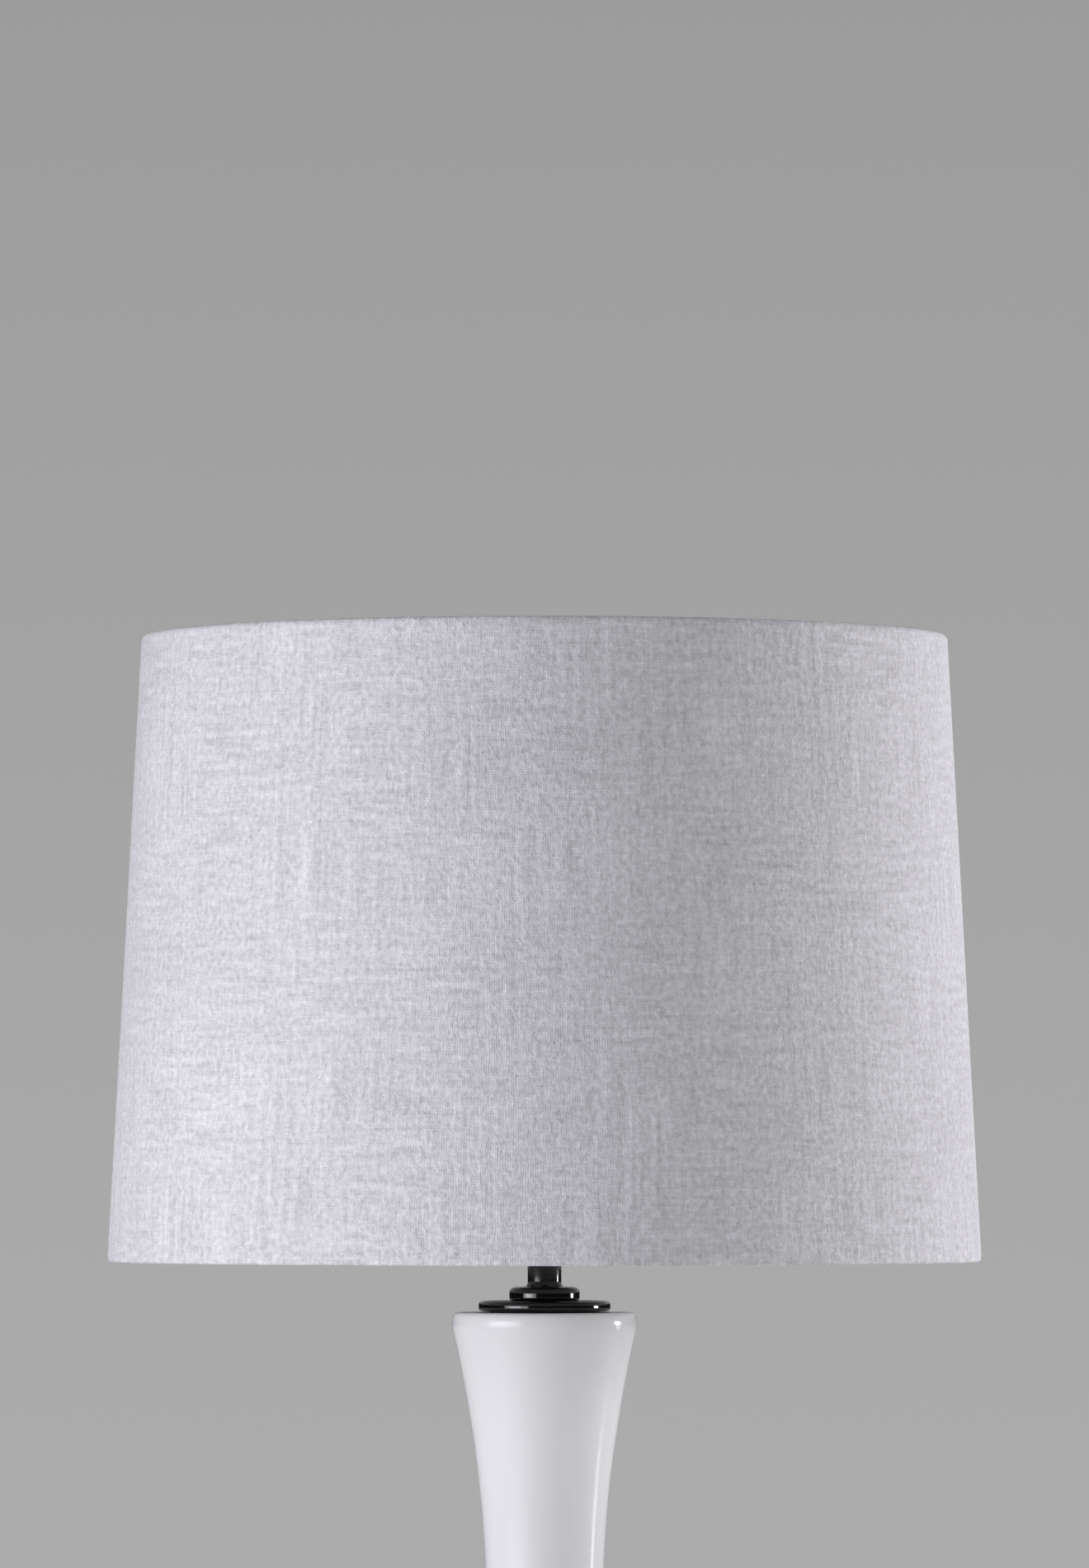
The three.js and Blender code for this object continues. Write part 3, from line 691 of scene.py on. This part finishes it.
# ------------ ceramic bottle
def build_vase():
    vase = Span("ceramic_body")
    height, belly = vase.height / MM, vase.radius / MM
    foot, waist, rim, lip, mouth = 60, 29, 46, 3.4, 16
    belly_z, waist_z, lip_z = 90, height - 150, height - 4
    lip_start = (rim - 0.35, height - 7.5)
    wall, floor, rod_room = 6.5, 9, 12
    flare = (rim - 7.3, height - 38)
    outside = [
        *arc(foot - 1.5, 1.5, 1.5, -90, 0, 6),
        *bend((foot, 1.5), (foot, 3), (foot, 4), (foot, 5), 3),
        *bend((foot, 5), (foot + 22, 13), (belly, 48), (belly, belly_z), 40),
        *bend((belly, belly_z), (belly, belly_z + 58), (waist, waist_z - 72), (waist, waist_z), 64),
        *bend((waist, waist_z), (waist, height - 85), flare, lip_start, 48),
        *bend(lip_start, (rim, lip_z), (rim + 0.1, height - 0.2), (rim - lip, height), 16),
    ]
    in_belly, in_waist = belly - wall, waist - wall
    ceiling = (rim - wall - 4, height - 13)
    in_flare, in_neck = (rim - wall - 12, height - 48), (in_waist, height - 88)
    shoulder, in_shoulder = (in_waist, waist_z - 72), (in_belly, belly_z + 56)
    inside = [
        *arc(mouth + 1.2, height - 1.2, 1.2, 90, 180, 5),
        (mouth, height - 7),
        ceiling,
        *bend(ceiling, in_flare, in_neck, (in_waist, waist_z), 16),
        *bend((in_waist, waist_z), shoulder, in_shoulder, (in_belly, belly_z), 20),
        *bend((in_belly, belly_z), (in_belly, 50), (78, 20), (50, floor), 12),
        (rod_room, floor),
        (rod_room, 3),
        (50, 3),
        *arc(51, 1, 1, 180, 270, 4),
    ]

    def hand_made(r, h, a):
        """The cast and glazed wall is round to about an eighth of a millimetre."""
        return r + 0.12 * MM * math.sin(2 * a + 1.0) * math.sin(14 * h) if r > 20 * MM else r

    profile = in_mm(outside + inside, vase.low)
    add_turned("ceramic_bottle", profile, 256, "white_glaze", "ceramic_body", ripple=hand_made, smooth=50)


# ------------ cap stack
def build_cap_stack():
    seal = Span("vase_gasket")
    profile = band(17 * MM, seal.radius, seal.low, seal.high, (0, 0.15, 0.15, 0))
    add_turned("cap_gasket", profile, 96, "rubber", "vase_gasket")

    cap = Span("vase_cap")
    plate, plug = cap.high - 5 * MM, 15 * MM
    profile = filleted([
        (ROD_HOLE, cap.low, 0.2),
        (plug, cap.low, 0.8),
        (plug, plate, 0.3),
        (cap.radius, plate, 1.8),
        (cap.radius, cap.high, 2.2),
        (ROD_HOLE, cap.high, 0.2),
    ], 6)
    add_turned("cap_disc", profile, 160, "black_metal", "vase_cap")

    ring = Span("check_ring")
    profile = band(ROD_HOLE, ring.radius, ring.low, ring.high, (0.2, 1.8, 3.2, 0.2), 8)
    add_turned("collar_ring", profile, 128, "black_metal", "check_ring")

    neck = Span("neck_tube")
    profile = filleted([
        (ROD_HOLE, neck.low, 0.2),
        (neck.radius + 1.1 * MM, neck.low, 0.2),
        (neck.radius, neck.low + 1.6 * MM, 1.2),
        (neck.radius, neck.high, 0.5),
        (ROD_HOLE, neck.high, 0.3),
    ])
    add_turned("neck", profile, 96, "black_metal", "neck_tube")


# ------------ harp
HARP_WIRE = 1.8 * MM  # radius


def build_saddle():
    saddle_low, saddle_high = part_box("harp_saddle")
    low, high, reach = saddle_low[2], saddle_high[2], saddle_high[0]
    half_width, pad, thick = 3.5 * MM, 9 * MM, 1.6 * MM
    turn, in_turn = 2.4, 1.44
    top = low + thick
    inner = reach - thick
    right = [(reach, low, turn), (reach, high, 0.4), (inner, high, 0.4), (inner, top, in_turn)]
    strap = filleted(both_sides(right), 6)
    body = prism("saddle", strap, -half_width, half_width, "Y", 0.25 * MM)
    disc = turned("pad", band(0, pad, low, top, (0, 0.2, 0.2, 0)), 64)
    body = drilled(combined(body, disc, "UNION"), low - thick, top + thick)
    add_piece("harp_bracket", body, "black_metal", "harp_saddle", smooth=30)

    nut = Span("saddle_locknut")
    hexagon = [(nut.radius * math.cos(i * TAU / 6), nut.radius * math.sin(i * TAU / 6)) for i in range(6)]
    mesh = prism("locknut", hexagon, nut.low, nut.high, "Z", 0.35 * MM)
    add_piece("locknut", drilled(mesh, nut.low - MM, nut.high + MM), "steel", "saddle_locknut", smooth=30)


def harp_path(low, high):
    """One side of the loop, from the foot of its leg to the middle of its flat top."""
    leg, bow, flat = 27, 57, 14
    leg_top, bow_low, bow_high, top = 37, 96, 146, (high - low) / MM
    side = [(leg, leg_top * i / 4) for i in range(5)]
    side += bend((leg, leg_top), (leg, leg_top + 33), (bow, bow_low), (bow, bow_high), 28)
    side += bend((bow, bow_high), (bow, bow_high + 78), (flat + 26, top), (flat, top), 32)
    side += [(flat * (1 - i / 4), top) for i in range(1, 5)]
    return [(x, 0, z) for x, z in in_mm(side, low)]


def build_harp():
    loop = Span("harp_wire")
    half = harp_path(loop.low, loop.high - HARP_WIRE)
    path = [(-x, y, z) for x, y, z in half[:-1]] + half[::-1]
    add_piece("harp_loop", tube("harp_loop", path, HARP_WIRE, 24), "black_metal", "harp_wire", smooth=60)

    low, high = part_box("harp_clip")
    grip, slot_top, opening = HARP_WIRE + 0.3 * MM, high[2] - 1.2 * MM, 1.8 * MM
    right = [
        (high[1], high[2], 1.6),
        (high[1], low[2], 0.5),
        (opening, low[2], 0.4),
        (grip, slot_top - grip, 0.3),
        (grip, slot_top, 1.89),
    ]
    clip = prism("harp_clip", filleted(both_sides(right), 6), low[0], high[0], "X", 0.3 * MM)
    add_piece("harp_crimp", clip, "black_metal", "harp_clip", smooth=30)

    seat = Span("harp_seat")
    stud, rows = 3.17 * MM, 96
    stud_z = seat.low + 1.7 * MM
    start = stud_z + 1 * MM
    turns = seat.high - 1.2 * MM - start
    flange = [(0, seat.low, 0), (seat.radius, seat.low, 0.6), (seat.radius, stud_z, 0.5), (stud, stud_z, 0.3)]
    profile = [
        *filleted(flange)[:-1],
        (stud, stud_z),
        *[(stud, start + turns * i / rows) for i in range(rows + 1)],
        (stud, seat.high - 0.8 * MM),
        (stud - 0.8 * MM, seat.high),
        (0, seat.high),
    ]
    thread = thread_wave(start, start + turns, FINIAL_PITCH, 0.4 * MM, stud)
    add_turned("finial_stud", profile, 48, "brass", "harp_seat", ripple=thread, smooth=50)


def rounded_rectangle(middle, half_x, half_y, corner, z):
    out = []
    for i, (sx, sy) in enumerate(((1, 1), (-1, 1), (-1, -1), (1, -1))):
        x, y = middle + sx * (half_x - corner), sy * (half_y - corner)
        out += [(px, py, z) for px, py in arc(x, y, corner, 90 * i, 90 * i + 90, 8)]
    return out


def build_sleeve(body, node, name):
    low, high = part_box(node)
    wall, corner, edge, least_corner = 0.8 * MM, 2.4 * MM, 0.25 * MM, 0.6 * MM
    middle, half_x, half_y = (low[0] + high[0]) / 2, (high[0] - low[0]) / 2, (high[1] - low[1]) / 2

    def ring(inset, z):
        turn = max(least_corner, corner - inset)
        return rounded_rectangle(middle, half_x - inset, half_y - inset, turn, z)

    loops = [
        ring(edge, low[2]),
        ring(0, low[2] + edge),
        ring(0, high[2] - edge),
        ring(edge, high[2]),
        ring(wall - 0.2 * MM, high[2]),
        ring(wall, high[2] - edge),
        ring(wall, low[2] + edge),
        ring(wall - 0.2 * MM, low[2]),
    ]
    add_piece(name, skin(name, loops), "black_metal", node, body)


# ------------ lamp holder and switch
def shaft_bore():
    """A tool that cuts the hole for the switch's shaft."""
    z = shaft_height()
    return tube("shaft_tool", [(0, -8 * MM, z), (0, -28 * MM, z)], 3.2 * MM, 40)


def build_holder():
    cap = Span("socket_cap")
    hole, seat, wall, floor = ROD_HOLE / MM, 8, 0.9, 6.5
    lip, top = cap.radius / MM, cap.height / MM
    dish, in_dish = lip - 0.5, lip - wall - 0.3
    seat_top, in_dish_low = (seat, 4), (in_dish, 16)
    profile = [
        (hole, 0),
        *arc(seat - 0.6, 0.6, 0.6, -90, 0, 4),
        seat_top,
        *bend(seat_top, (9, 9), (dish, 8.4), (dish, 15), 20),
        *arc(lip - 0.55, 16.2, 0.55, -80, 80, 6),
        (lip - 0.35, 17.4),
        (lip - 0.35, top - 0.3),
        (lip - 0.6, top),
        (lip - wall, top),
        in_dish_low,
        *bend(in_dish_low, (lip - 2, 11), (10, 10), (seat, floor), 10),
        (hole, floor),
    ]
    add_turned("holder_cap", in_mm(profile, cap.low), 128, "black_metal", "socket_cap")

    shell = Span("socket_shell")
    radius = shell.radius - 0.6 * MM
    inner = radius - 0.6 * MM
    profile = [(radius, shell.low + 3.5 * MM)]
    for ring_z in (shell.low + 10 * MM, shell.high - 14 * MM):
        profile.append((radius, ring_z - 0.9 * MM))
        profile += arc(radius - 0.15 * MM, ring_z, 0.7 * MM, -78, 78, 8)
        profile.append((radius, ring_z + 0.9 * MM))
    profile += [
        *arc(radius, shell.high - 1.5 * MM, 0.6 * MM, -90, 90, 8),
        (radius, shell.high),
        (inner, shell.high),
        (inner, shell.low),
        (shell.radius, shell.low),
        (shell.radius, shell.low + 2.6 * MM),
    ]
    mesh = combined(turned("holder_shell", profile, 128), shaft_bore(), "DIFFERENCE")
    add_piece("holder_shell", mesh, "black_metal", "socket_shell", smooth=35)

    liner = Span("socket_liner")
    profile = band(liner.radius - 0.8 * MM, liner.radius, liner.low, liner.high, (0.1, 0.1, 0.2, 0.2))
    mesh = combined(turned("holder_liner", profile, 128), shaft_bore(), "DIFFERENCE")
    add_piece("holder_liner", mesh, "fibre", "socket_liner", smooth=35)

    screw = Span("socket_screw_shell")
    inner = screw.radius - 0.6 * MM
    start, end, rows = screw.low + 2 * MM, screw.high - 2 * MM, 60
    steps = [start + (end - start) * i / rows for i in range(rows + 1)]
    outside = [(screw.radius, z) for z in (screw.low, *steps)] + [(screw.radius + 0.3 * MM, screw.high)]
    inside = [(inner + 0.3 * MM, screw.high)] + [(inner, z) for z in (*reversed(steps), screw.low)]

    def waves(r, z, a):
        """The shell is one thin wavy sheet: its thread shows on both sides."""
        if not start <= z <= end:
            return r
        fade = min(1.0, (z - start) / (2 * MM), (end - z) / (2 * MM))
        return r + 0.35 * MM * fade * (math.cos(((z - start) / BULB_PITCH - a / TAU) * TAU) - 1) / 2

    profile = outside + inside
    add_turned("screw_shell", profile, 96, "aluminium", "socket_screw_shell", ripple=waves, smooth=50)


def build_switch():
    low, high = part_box("switch_shaft")
    shaft_z, radius = shaft_height(), (high[2] - low[2]) / 2
    shaft = tube("key_shaft", [(0, low[1], shaft_z), (0, high[1], shaft_z)], radius, 32)
    add_piece("key_shaft", shaft, "brass", "switch_shaft", "switch")

    low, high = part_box("switch_knob")
    front, back, grip = low[1], high[1], (high[2] - low[2]) / 2
    flutes, sides, centre = 12, 144, 1e-12
    bore, pocket = 2.6 * MM, back - 5.2 * MM

    def fluted(y, reach, depth=0.0):
        out = []
        for i in range(sides):
            a = i * TAU / sides
            r = reach - depth * (0.5 + 0.5 * math.cos(flutes * a)) ** 2
            out.append((r * math.cos(a), y, shaft_z + r * math.sin(a)))
        return out

    loops = [
        fluted(pocket, centre),
        fluted(pocket, bore),
        fluted(back, bore),
        fluted(back, grip - 1.0 * MM, 0.3 * MM),
        fluted(back - 0.5 * MM, grip - 0.3 * MM, 0.6 * MM),
        fluted(back - 1.2 * MM, grip, 0.75 * MM),
        fluted(front + 2.0 * MM, grip - 0.25 * MM, 0.75 * MM),
        fluted(front + 0.9 * MM, grip - 0.7 * MM, 0.55 * MM),
        fluted(front + 0.3 * MM, grip - 1.4 * MM, 0.3 * MM),
        fluted(front, grip - 2.3 * MM),
        fluted(front + 0.15 * MM, grip - 3.2 * MM),
        fluted(front + 0.45 * MM, grip - 4.0 * MM),
        fluted(front + 0.5 * MM, centre),
    ]
    knob = skin("key_knob", loops, ring=False)
    add_piece("key_knob", knob, "black_plastic", "switch_knob", "switch", smooth=50)


# ------------ bulb
def build_bulb():
    contact = Span("bulb_contact")
    radius, top = 4.4, contact.height / MM
    profile = [
        (0, 0),
        *bend((0, 0), (2.2, 0), (radius, 0.3), (radius, 1.4), 10),
        (radius, top),
        (0, top),
    ]
    add_turned("centre_contact", in_mm(profile, contact.low), 48, "brass", "bulb_contact", "bulb_rise")

    insulator = Span("bulb_insulator")
    profile = filleted([
        (0, insulator.low, 0),
        (5.5 * MM, insulator.low, 0.3),
        (insulator.radius, insulator.low + 2.2 * MM, 0.8),
        (insulator.radius, insulator.high, 0.2),
        (0, insulator.high, 0),
    ])
    add_turned("cap_insulator", profile, 64, "black_plastic", "bulb_insulator", "bulb")

    cap = Span("bulb_screw_cap")
    radius, top, wall, rows = cap.radius / MM, cap.height / MM, 0.9, 90
    start, end, foot = 3.4, top - 3.0, (9.8, 0)
    profile = [
        foot,
        *bend(foot, (11.5, 1.2), (radius, 2), (radius, 3.2), 6),
        *[(radius, start + (end - start) * i / rows) for i in range(rows + 1)],
        (radius, top - 2.4),
        (radius - 0.5, top - 1.6),
        (radius - 0.5, top),
        (radius - wall - 0.4, top),
        (radius - wall - 0.9, 3.6),
        (9.2, 0.8),
    ]
    thread_low, thread_high = cap.low + start * MM, cap.low + end * MM
    thread = thread_wave(thread_low, thread_high, BULB_PITCH, 0.85 * MM, cap.radius, rounded=True)
    add_turned("screw_cap", in_mm(profile, cap.low), 96, "aluminium", "bulb_screw_cap", "bulb", thread, 60)

    housing = Span("bulb_housing")
    reach, top = housing.radius / MM, housing.height / MM
    foot, widest = (13.5, 0), (reach - 0.1, top - 0.8)
    in_foot, in_widest = (11.8, 0), (reach - 1.5, top)
    profile = [
        foot,
        *bend(foot, (14, 11.5), (reach - 0.5, 21.5), widest, 36),
        (reach - 0.4, top),
        in_widest,
        *bend(in_widest, (reach - 2.5, 23.5), (12, 13.5), in_foot, 16),
    ]
    add_turned("bulb_body", in_mm(profile, housing.low), 128, "opal_plastic", "bulb_housing", "bulb")

    dome = Span("bulb_dome")
    reach, top = dome.radius / MM, dome.height / MM
    wall, quarter = 1.3, 0.5523  # a cubic curve with this much handle is a quarter of an ellipse
    inner, in_top, seam = reach - wall, top - wall, (reach - 0.05, 0.5)
    profile = [
        (0, in_top),
        *bend((0, in_top), (inner * quarter, in_top), (inner, in_top * quarter), (inner, 0), 24),
        (reach - 0.4, 0),
        seam,
        *bend(seam, (reach, top * quarter), (reach * quarter, top), (0, top), 40),
    ]
    add_turned("bulb_globe", in_mm(profile, dome.low), 128, "opal_plastic", "bulb_dome", "bulb")


# ------------ shade
CLOTH = 0.7 * MM  # thickness
HEM = 3.2 * MM  # from the middle of a ring wire to the outer face of the cloth rolled round it


class Shade:
    """The cone that the cloth lies on, and the ring wires in its two hems."""

    def __init__(self):
        cloth = Span("shade_fabric")
        self.low, self.high = cloth.low, cloth.high
        self.wire = 2.2 * MM
        self.bottom = (Span("shade_bottom_ring").radius - self.wire, self.low + HEM)
        self.top = (Span("shade_top_ring").radius - self.wire, self.high - HEM)

    def section(self, lift):
        """The cloth's section from one inner hem edge round to the other, moved out by lift."""
        side_steps = 24
        bottom = hem_turn(lift, 1.4 * MM)
        top = [(x, -z) for x, z in reversed(hem_turn(lift, 2.5 * MM))]
        points = [(self.bottom[0] + x, self.bottom[1] + z) for x, z in bottom]
        start, end = Vector(points[-1]), Vector((self.top[0] + top[0][0], self.top[1] + top[0][1]))
        points += [tuple(start.lerp(end, i / side_steps)) for i in range(1, side_steps)]
        return points + [(self.top[0] + x, self.top[1] + z) for x, z in top]


def hem_turn(lift, corner):
    """The lower hem's section about its wire: up the inside, round the wire, and out to the cloth's face."""
    reach = HEM - CLOTH / 2
    outer = reach + lift
    points = arc(0, 0, reach, -250, -120, 8)
    points += arc(outer - corner, corner - outer, corner, -90, 0, 6)
    return [*points, (outer, 0)]


def build_shade_cloth(shade):
    """One strip of cloth round the rings. Its ends lap at the back, and both are rounded off."""
    lap, columns, waviness = 13 * MM, 540, 0.35 * MM
    end_round = 0.45 * MM  # how far from the strip's end its thickness starts to round off
    mean = (shade.bottom[0] + shade.top[0]) / 2 + HEM
    lap_turn = lap / mean
    section = shade.section(0)
    lengths = [0.0]
    for a, b in zip(section, section[1:]):
        lengths.append(lengths[-1] + math.dist(a, b))
    rng = random.Random(7)
    waves = []
    for _ in range(6):
        waves.append((rng.randint(2, 9), rng.uniform(0, TAU), rng.uniform(4, 14), rng.uniform(0, TAU)))
    half_lap = lap_turn / 2
    start, end = math.pi / 2 - half_lap, math.pi / 2 + TAU + half_lap

    def lift_at(a):
        """The outer end climbs over the inner one just before the lap, and lies on it."""
        ahead = a - (end - 1.35 * lap_turn)
        climb = min(1.0, max(0.0, ahead / (0.35 * lap_turn)))
        return 1.05 * CLOTH * climb * climb * (3 - 2 * climb)

    def cloth_loop(a, side, length_left):
        """The section at one angle, on the outer (1) or inner (-1) face of the cloth."""
        fold = min(1.0, length_left / end_round)
        half = CLOTH / 2 * math.sqrt(max(0.02, 1 - (1 - fold) ** 2))
        points = shade.section(lift_at(a))
        loop = []
        for i, (r, z) in enumerate(points):
            before, after = points[max(0, i - 1)], points[min(len(points) - 1, i + 1)]
            normal = Vector((after[1] - before[1], before[0] - after[0])).normalized()
            up = min(1.0, max(0.0, (z - shade.low) / (shade.high - shade.low)))
            wave = sum(math.sin(n * a + p) * math.sin(k * z * 2 + q) for n, p, k, q in waves) / len(waves)
            r_here = r + normal[0] * half * side + waviness * wave * math.sin(math.pi * up)
            loop.append((r_here * math.cos(a), r_here * math.sin(a), z + normal[1] * half * side))
        return loop

    edge_turn = end_round / mean
    angles = [
        start,
        start + edge_turn / 3,
        start + edge_turn,
        *[start + (end - start) * i / columns for i in range(1, columns)],
        end - edge_turn,
        end - edge_turn / 3,
        end,
    ]
    mesh = bpy.data.meshes.new("shade_cloth")
    build = bmesh.new()
    uv = build.loops.layers.uv.new("cloth")
    grid = {}
    for side in (1, -1):
        for c, a in enumerate(angles):
            left = min(a - start, end - a) * mean
            for k, p in enumerate(cloth_loop(a, side, left)):
                grid[side, c, k] = build.verts.new(p)
    last = len(section) - 1

    def face(*keys):
        made = build.faces.new([grid[key] for key in keys])
        for loop, (_, c, k) in zip(made.loops, keys):
            loop[uv].uv = ((angles[c] - start) * mean, lengths[k])

    for c in range(len(angles) - 1):
        for k in range(last):
            face((1, c, k), (1, c + 1, k), (1, c + 1, k + 1), (1, c, k + 1))
            face((-1, c, k), (-1, c, k + 1), (-1, c + 1, k + 1), (-1, c + 1, k))
        face((1, c, 0), (-1, c, 0), (-1, c + 1, 0), (1, c + 1, 0))
        face((1, c, last), (1, c + 1, last), (-1, c + 1, last), (-1, c, last))
    for c in (0, len(angles) - 1):
        for k in range(last):
            face((1, c, k), (1, c, k + 1), (-1, c, k + 1), (-1, c, k))
    bmesh.ops.recalc_face_normals(build, faces=build.faces)
    build.to_mesh(mesh)
    build.free()
    cloth = add_piece("shade_cloth", mesh, "linen", "shade_fabric", "shade", smooth=60)


def build_shade_frame(shade):
    rings = (("ring_bottom", "shade_bottom_ring", shade.bottom), ("ring_top", "shade_top_ring", shade.top))
    sides = 240
    for name, node, (r, z) in rings:
        path = [(r * math.cos(i * TAU / sides), r * math.sin(i * TAU / sides), z) for i in range(sides)]
        add_piece(name, tube(name, path, shade.wire, 16, ring=True), "steel", node, "shade", smooth=60)

    liner = Span("shade_liner")
    taper, thick, steps = 15.6 * MM, 0.5 * MM, 12
    r0, r1 = liner.radius, liner.radius - taper
    outside = [(r0 + (r1 - r0) * i / steps, liner.low + liner.height * i / steps) for i in range(steps + 1)]
    inside = [(r - thick, z) for r, z in reversed(outside)]
    add_turned("liner", outside + inside, 288, "shade_liner", "shade_liner", "shade", smooth=50)

    hub = Span("spider_hub")
    profile = band(5.6 * MM, hub.radius, hub.low, hub.high, (0.25, 0.4, 0.5, 0.25), 5)
    add_turned("spider_washer", profile, 96, "steel", "spider_hub", "shade")

    hub_z = (hub.low + hub.high) / 2
    inner = (hub.radius + 0.3 * MM, hub_z)
    outer = (shade.top[0] - shade.wire - 0.3 * MM, shade.top[1])
    line = [inner, *bend(inner, (75 * MM, hub_z), (120 * MM, outer[1]), outer, 40)]
    for i in range(3):
        a = math.radians(90 + 120 * i)
        path = [(r * math.cos(a), r * math.sin(a), z) for r, z in line]
        name = f"arm_{i + 1}"
        add_piece(name, tube(name, path, 1.9 * MM, 20), "steel", f"spider_arm_{i + 1}", "shade", smooth=60)


# ------------ finial
def build_finial():
    insert = Span("finial_insert")
    profile = band(3.47 * MM, insert.radius, insert.low, insert.high, (0.3, 0.2, 0.2, 0.1))
    add_turned("finial_nut", profile, 64, "brass", "finial_insert", "finial_rise")

    base = Span("finial_base")
    flange, top = base.radius / MM, base.height / MM
    bore, bore_top, waist, shoulder = 5.3, 7.5, 6.2, 7
    cove, cove_end, neck = (flange - 0.35, 1.3), (waist, 2.6), (waist, 4.6)
    profile = [
        (0, bore_top),
        (bore, bore_top),
        (bore, 0),
        *arc(flange - 0.7, 0.7, 0.7, -90, 60, 8),
        *bend(cove, (7.6, 2.0), cove_end, neck, 12),
        *bend(neck, (waist, 5.6), (shoulder, 6.2), (shoulder, 7.2), 6),
        *arc(shoulder - 0.6, top - 0.6, 0.6, 0, 90, 5),
        (0, top),
    ]
    add_turned("finial_stem", in_mm(profile, base.low), 96, "black_metal", "finial_base", "finial")

    low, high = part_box("finial_ball")
    ball = (high[0] - low[0]) / 2
    centre = high[2] - ball
    start = math.degrees(math.asin((low[2] - centre) / ball))
    profile = [(0, low[2]), *arc(0, centre, ball, start, 90, 48)[:-1], (0, high[2])]
    add_turned("finial_knob", profile, 96, "black_metal", "finial_ball", "finial")


# ------------ the lamp
VIEW = bpy.context.scene.view_settings
VIEW.view_transform = "Standard"
VIEW.look = "None"
PAINTS = make_paints()
SHADE = Shade()
make_camera()
make_world()
make_lights()
make_floor()
build_base()
build_vase()
build_cap_stack()
build_saddle()
build_harp()
build_sleeve("sleeve_right", "harp_sleeve_right", "sleeve_right_tube")
build_sleeve("sleeve_left", "harp_sleeve_left", "sleeve_left_tube")
build_holder()
build_switch()
build_bulb()
build_shade_frame(SHADE)
build_shade_cloth(SHADE)
build_finial()
KEPT_NODES = [
    "base_weight", "rod_washer", "rod_lock_washer", "rod_nut",
    "threaded_rod", "socket_set_screw", "socket_core", "terminal_screw_brass",
    "terminal_screw_silver", "socket_contact", "bulb_led_board", "bulb_driver",
]
keep_nodes(KEPT_NODES)
